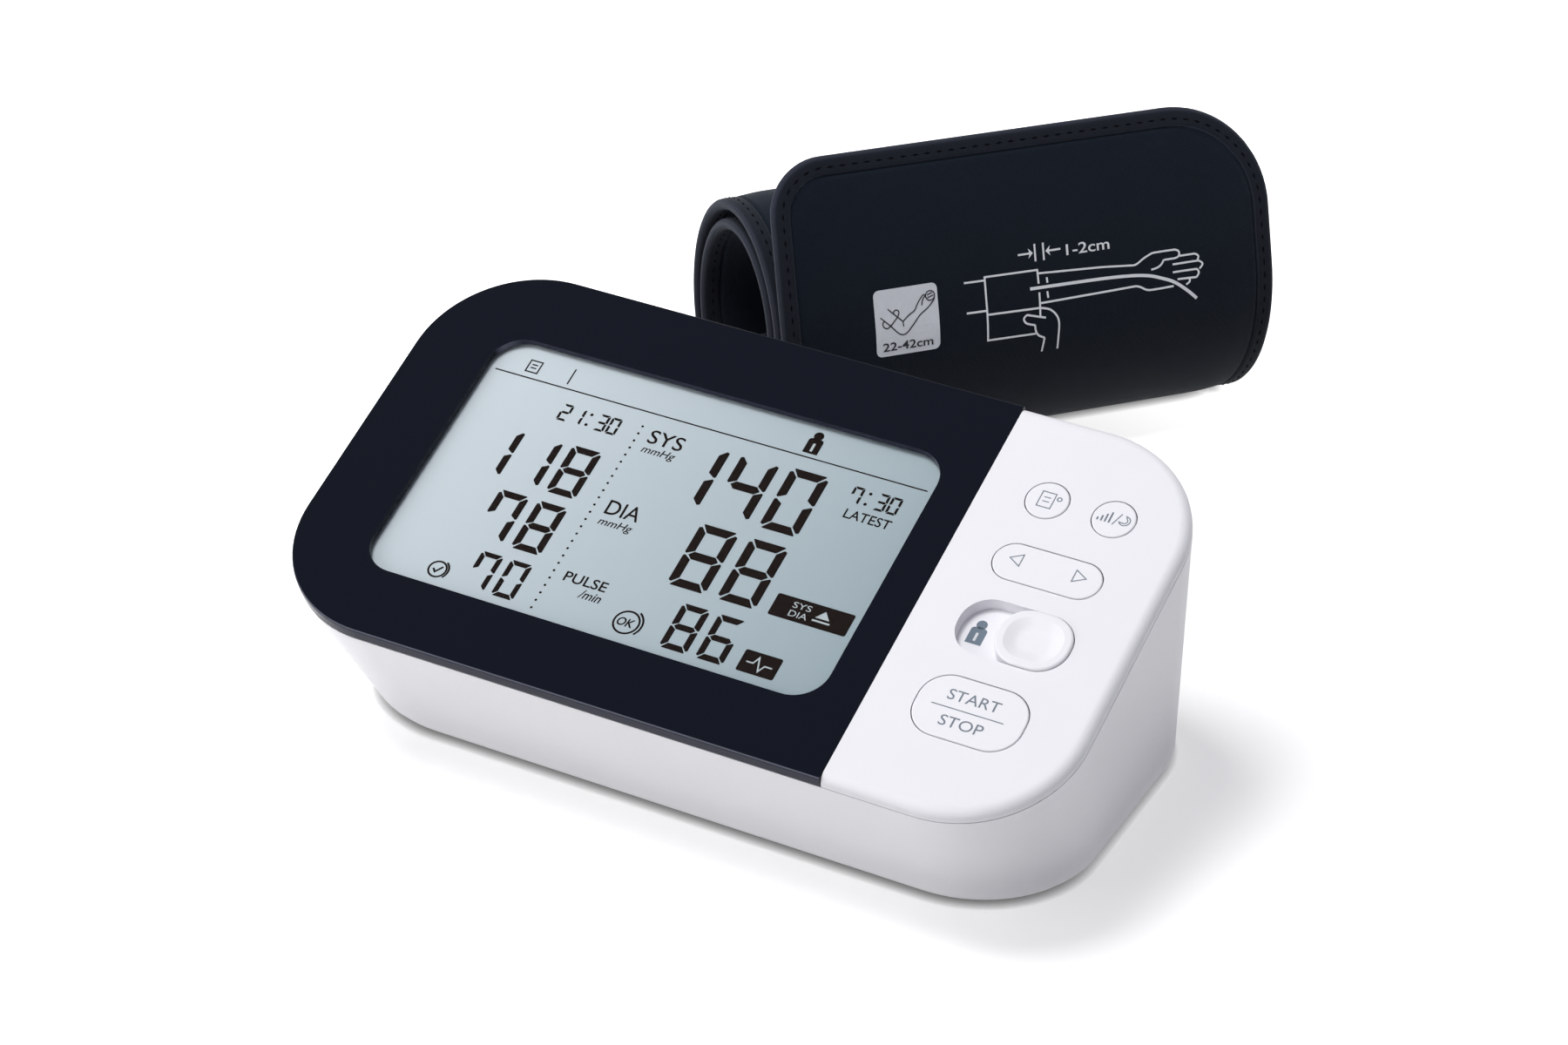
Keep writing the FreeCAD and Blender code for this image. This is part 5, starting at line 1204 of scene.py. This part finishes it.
PRINT_LIFT = 0.06
MARK_LIFT = 0.12
PRINT_STEP = 2.0
CURVE_STEPS = 6
CUFF_LINE_WIDTH = 0.5
HOSE_LINE_WIDTH = 0.8
# Drawing of how the cuff is worn: straight lines, then curved ones, then the hose
FITTING_LINES = (
    # Cuff
    ((1.3, 3.7), (1.2, 7.2), (-13.1, 7.4), (-13.1, -8.3), (-0.1, -8.5)),
    ((1.3, 1.5), (1.2, -4.4)),
    ((-13.0, -2.0), (1.3, -2.3)),
    # Upper arm, forearm and dashes at the elbow
    ((-18.7, 6.7), (-13.2, 6.6)),
    ((-18.6, -0.9), (-13.1, -1.0)),
    ((1.4, 6.3), (18.8, 5.4), (27.6, 4.6)),
    ((1.5, -1.2), (18.3, -0.9), (27.8, -0.7)),
    ((3.6, 5.0), (3.7, 3.6)),
    ((3.5, 1.5), (3.6, -0.2)),
    # Lower edge of the third finger
    ((39.4, -0.6), (44.7, -0.8)),
)
FITTING_CURVES = (
    # Thumb and its root
    (
        (27.6, 4.6), (28.6, 4.9), (30.5, 6.0), (32.4, 6.8), (33.5, 7.0), (38.3, 7.0), (39.4, 6.9),
        (40.2, 6.4), (40.3, 5.6), (39.8, 5.0), (38.8, 4.8), (37.8, 4.8), (35.9, 4.8),
    ),
    ((35.9, 4.8), (35.2, 3.8), (34.0, 3.1), (32.3, 2.8)),
    # Four fingers
    ((40.3, 5.2), (43.8, 5.2), (44.8, 5.1), (45.6, 4.4), (45.2, 3.4)),
    ((38.3, 3.3), (44.6, 3.3), (45.7, 3.2), (46.6, 2.3), (45.7, 1.2)),
    ((38.2, 1.3), (44.0, 1.25), (45.0, 1.1), (45.4, 0.2), (44.7, -0.8)),
    ((42.7, -0.8), (42.7, -1.6), (41.7, -2.2)),
    # Heel of the hand
    ((27.8, -0.7), (29.0, -1.1), (30.7, -2.0), (32.7, -2.2), (38.2, -2.1)),
    # Hand that holds the cuff from below: its back, finger, palm and wrist
    ((1.3, -2.3), (3.8, -3.0), (5.5, -4.5), (6.3, -6.6), (6.2, -10.3), (6.1, -13.4)),
    ((2.7, -4.9), (-1.4, -3.8), (-2.5, -3.6), (-3.3, -4.4), (-2.8, -5.4), (-1.8, -5.9), (-0.3, -6.3)),
    ((-0.3, -6.3), (0.0, -8.0), (0.8, -9.1), (2.4, -9.9)),
    ((2.4, -9.9), (1.8, -13.5)),
)
FITTING_HOSE = (
    (-1.1, 2.7), (17.0, 2.5), (26.2, 2.1), (31.4, 1.4),
    (34.9, 0.3), (38.5, -1.2), (42.0, -3.7), (44.6, -6.0),
)
ARROW_LENGTH = 4.1
ARROW_HEAD = 1.3
ARROW_NOTCH = 0.4
ARROW_GAP = 0.55
ARROW_LEVEL = 11.6
ARROW_TIPS = ((0.4, 1), (3.8, -1))
UPRIGHT_HALF = 2.2
# Plain lengths on the drawing and on the tag: text, left, foot, right, head, weight
GAP_WORDS = ("1-2cm", 9.4, 9.7, 21.3, 12.5, 0.01)
SIZE_WORDS = ("22-42cm", -41.3, -7.1, -27.9, -5.0, 0.015)
TAG_BOX = (-43.0, -8.3, -26.0, 8.1)
TAG_ROUND = 1.5
TAG_CELLS = 8
TAG_LINE_WIDTH = 0.3
# Sign on the tag: a bent arm with a band round it
TAG_CURVES = (
    # Upper arm, forearm, thumb and elbow
    ((-39.5, 3.2), (-37.6, 1.4), (-35.7, -0.4)),
    ((-35.7, -0.4), (-33.9, 1.0), (-32.4, 1.9), (-31.7, 3.1), (-30.8, 4.4), (-29.8, 5.4), (-29.3, 5.1)),
    ((-29.3, 5.1), (-30.0, 4.3), (-30.4, 2.9)),
    ((-35.7, -0.4), (-35.6, -1.6)),
    (
        (-41.6, 1.3), (-39.0, -1.1), (-37.2, -2.9), (-36.0, -3.5), (-34.8, -3.2), (-33.2, -1.7),
        (-31.0, 0.6), (-28.8, 2.1), (-27.2, 3.7), (-26.9, 4.6),
    ),
    # Fingers
    ((-28.8, 5.2), (-27.4, 5.7)),
    ((-28.8, 4.5), (-27.1, 5.0)),
    # Band
    (
        (-38.2, 2.0), (-37.4, 2.7), (-36.6, 2.2), (-36.9, 1.1), (-37.7, 0.2), (-39.0, -1.0),
        (-40.0, -1.5), (-40.9, -1.0), (-41.0, -0.1), (-40.4, 0.3),
    ),
)
TAG_HAND = (-28.0, 5.0, 1.2)


def on_cuff(lift):
    """A function that puts flap coordinates on the cuff's outer face."""
    def place(across, up):
        down = FLAP_LENGTH - up
        return strip_place(down, across, cloth_half(edge_distance(down, across)) + lift)

    return place


def stepped(points):
    """A line with extra points, so that it follows the cloth's curve."""
    line = [points[0]]
    for (x0, y0), (x1, y1) in zip(points, points[1:]):
        count = math.ceil(math.hypot(x1 - x0, y1 - y0) / PRINT_STEP)
        line += [*zip(between(x0, x1, count), between(y0, y1, count)), (x1, y1)]
    return line


def curved(points):
    """A smooth line through points."""
    spots = [Vector(point) for point in (points[0], *points, points[-1])]
    line = [tuple(points[0])]
    for a, b, c, d in zip(spots, spots[1:], spots[2:], spots[3:]):
        for i in range(1, CURVE_STEPS + 1):
            share = i / CURVE_STEPS
            straight = b * 2 + (c - a) * share
            bend = (a * 2 - b * 5 + c * 4 - d) * share ** 2
            twist = (b * 3 - a - c * 3 + d) * share ** 3
            line.append(tuple((straight + bend + twist) / 2))
    return line


def curved_plate(left, low, right, high, corner):
    """A filled rectangle with round corners, in level bands that follow the cloth's curve."""
    levels = [low + corner * (1 - math.cos(math.pi / 2 * i / TAG_CELLS)) for i in range(TAG_CELLS + 1)]
    middle = between(low + corner, high - corner, TAG_CELLS)
    levels += middle + [low + high - level for level in reversed(levels)]
    points = []
    for level in levels:
        reach = min(level - low, high - level, corner)
        inset = corner - math.sqrt(max(corner ** 2 - (corner - reach) ** 2, 0.0))
        points += [(left + inset, level), (right - inset, level)]
    return points, [(2 * i, 2 * i + 1, 2 * i + 3, 2 * i + 2) for i in range(len(levels) - 1)]


def arrow(tip, y, way):
    """A level arrow up to a short upright line."""
    tail, barb, stop = tip - way * ARROW_LENGTH, tip - way * ARROW_HEAD, tip + way * ARROW_GAP
    notch = barb + way * ARROW_NOTCH
    head = polygon([(tip, y), (barb, y + ARROW_HEAD), (notch, y), (barb, y - ARROW_HEAD)])
    shaft = ((tail, y), (notch, y))
    upright = ((stop, y - UPRIGHT_HALF), (stop, y + UPRIGHT_HALF))
    return [head, ribbon(shaft, CUFF_LINE_WIDTH), ribbon(upright, CUFF_LINE_WIDTH)]


def make_cuff_drawing():
    """White line drawing of an arm in the cuff, with arrows at the cuff's edge."""
    shapes = [ribbon(stepped(line), CUFF_LINE_WIDTH) for line in FITTING_LINES]
    shapes += [ribbon(curved(line), CUFF_LINE_WIDTH) for line in FITTING_CURVES]
    shapes.append(ribbon(curved(FITTING_HOSE), HOSE_LINE_WIDTH))
    for tip, way in ARROW_TIPS:
        shapes += arrow(tip, ARROW_LEVEL, way)
    shapes.append(words(*GAP_WORDS))
    mark("cuff_drawing", shapes, on_cuff(PRINT_LIFT), ink("cuff_print_white"), "cuff")


def make_cuff_tag():
    """Pale tag with a sign for the arm's size."""
    tag = [curved_plate(*TAG_BOX, TAG_ROUND)]
    mark("cuff_tag", tag, on_cuff(PRINT_LIFT), ink("cuff_tag_grey"), "cuff")
    sign = [ribbon(curved(line), TAG_LINE_WIDTH) for line in TAG_CURVES]
    sign += [ring(*TAG_HAND, TAG_LINE_WIDTH), words(*SIZE_WORDS)]
    mark("cuff_tag_sign", sign, on_cuff(MARK_LIFT), ink("cuff_tag_black"), "cuff")


make_camera()
make_world()
make_floor()
for lamp_name, lamp_values in SOFTBOXES.items():
    make_softbox(lamp_name, *lamp_values)
dress_nodes()
make_display_marks()
make_control_marks()
make_cuff()
make_stitches()
make_cuff_drawing()
make_cuff_tag()

bpy.context.scene.view_settings.view_transform = "Standard"
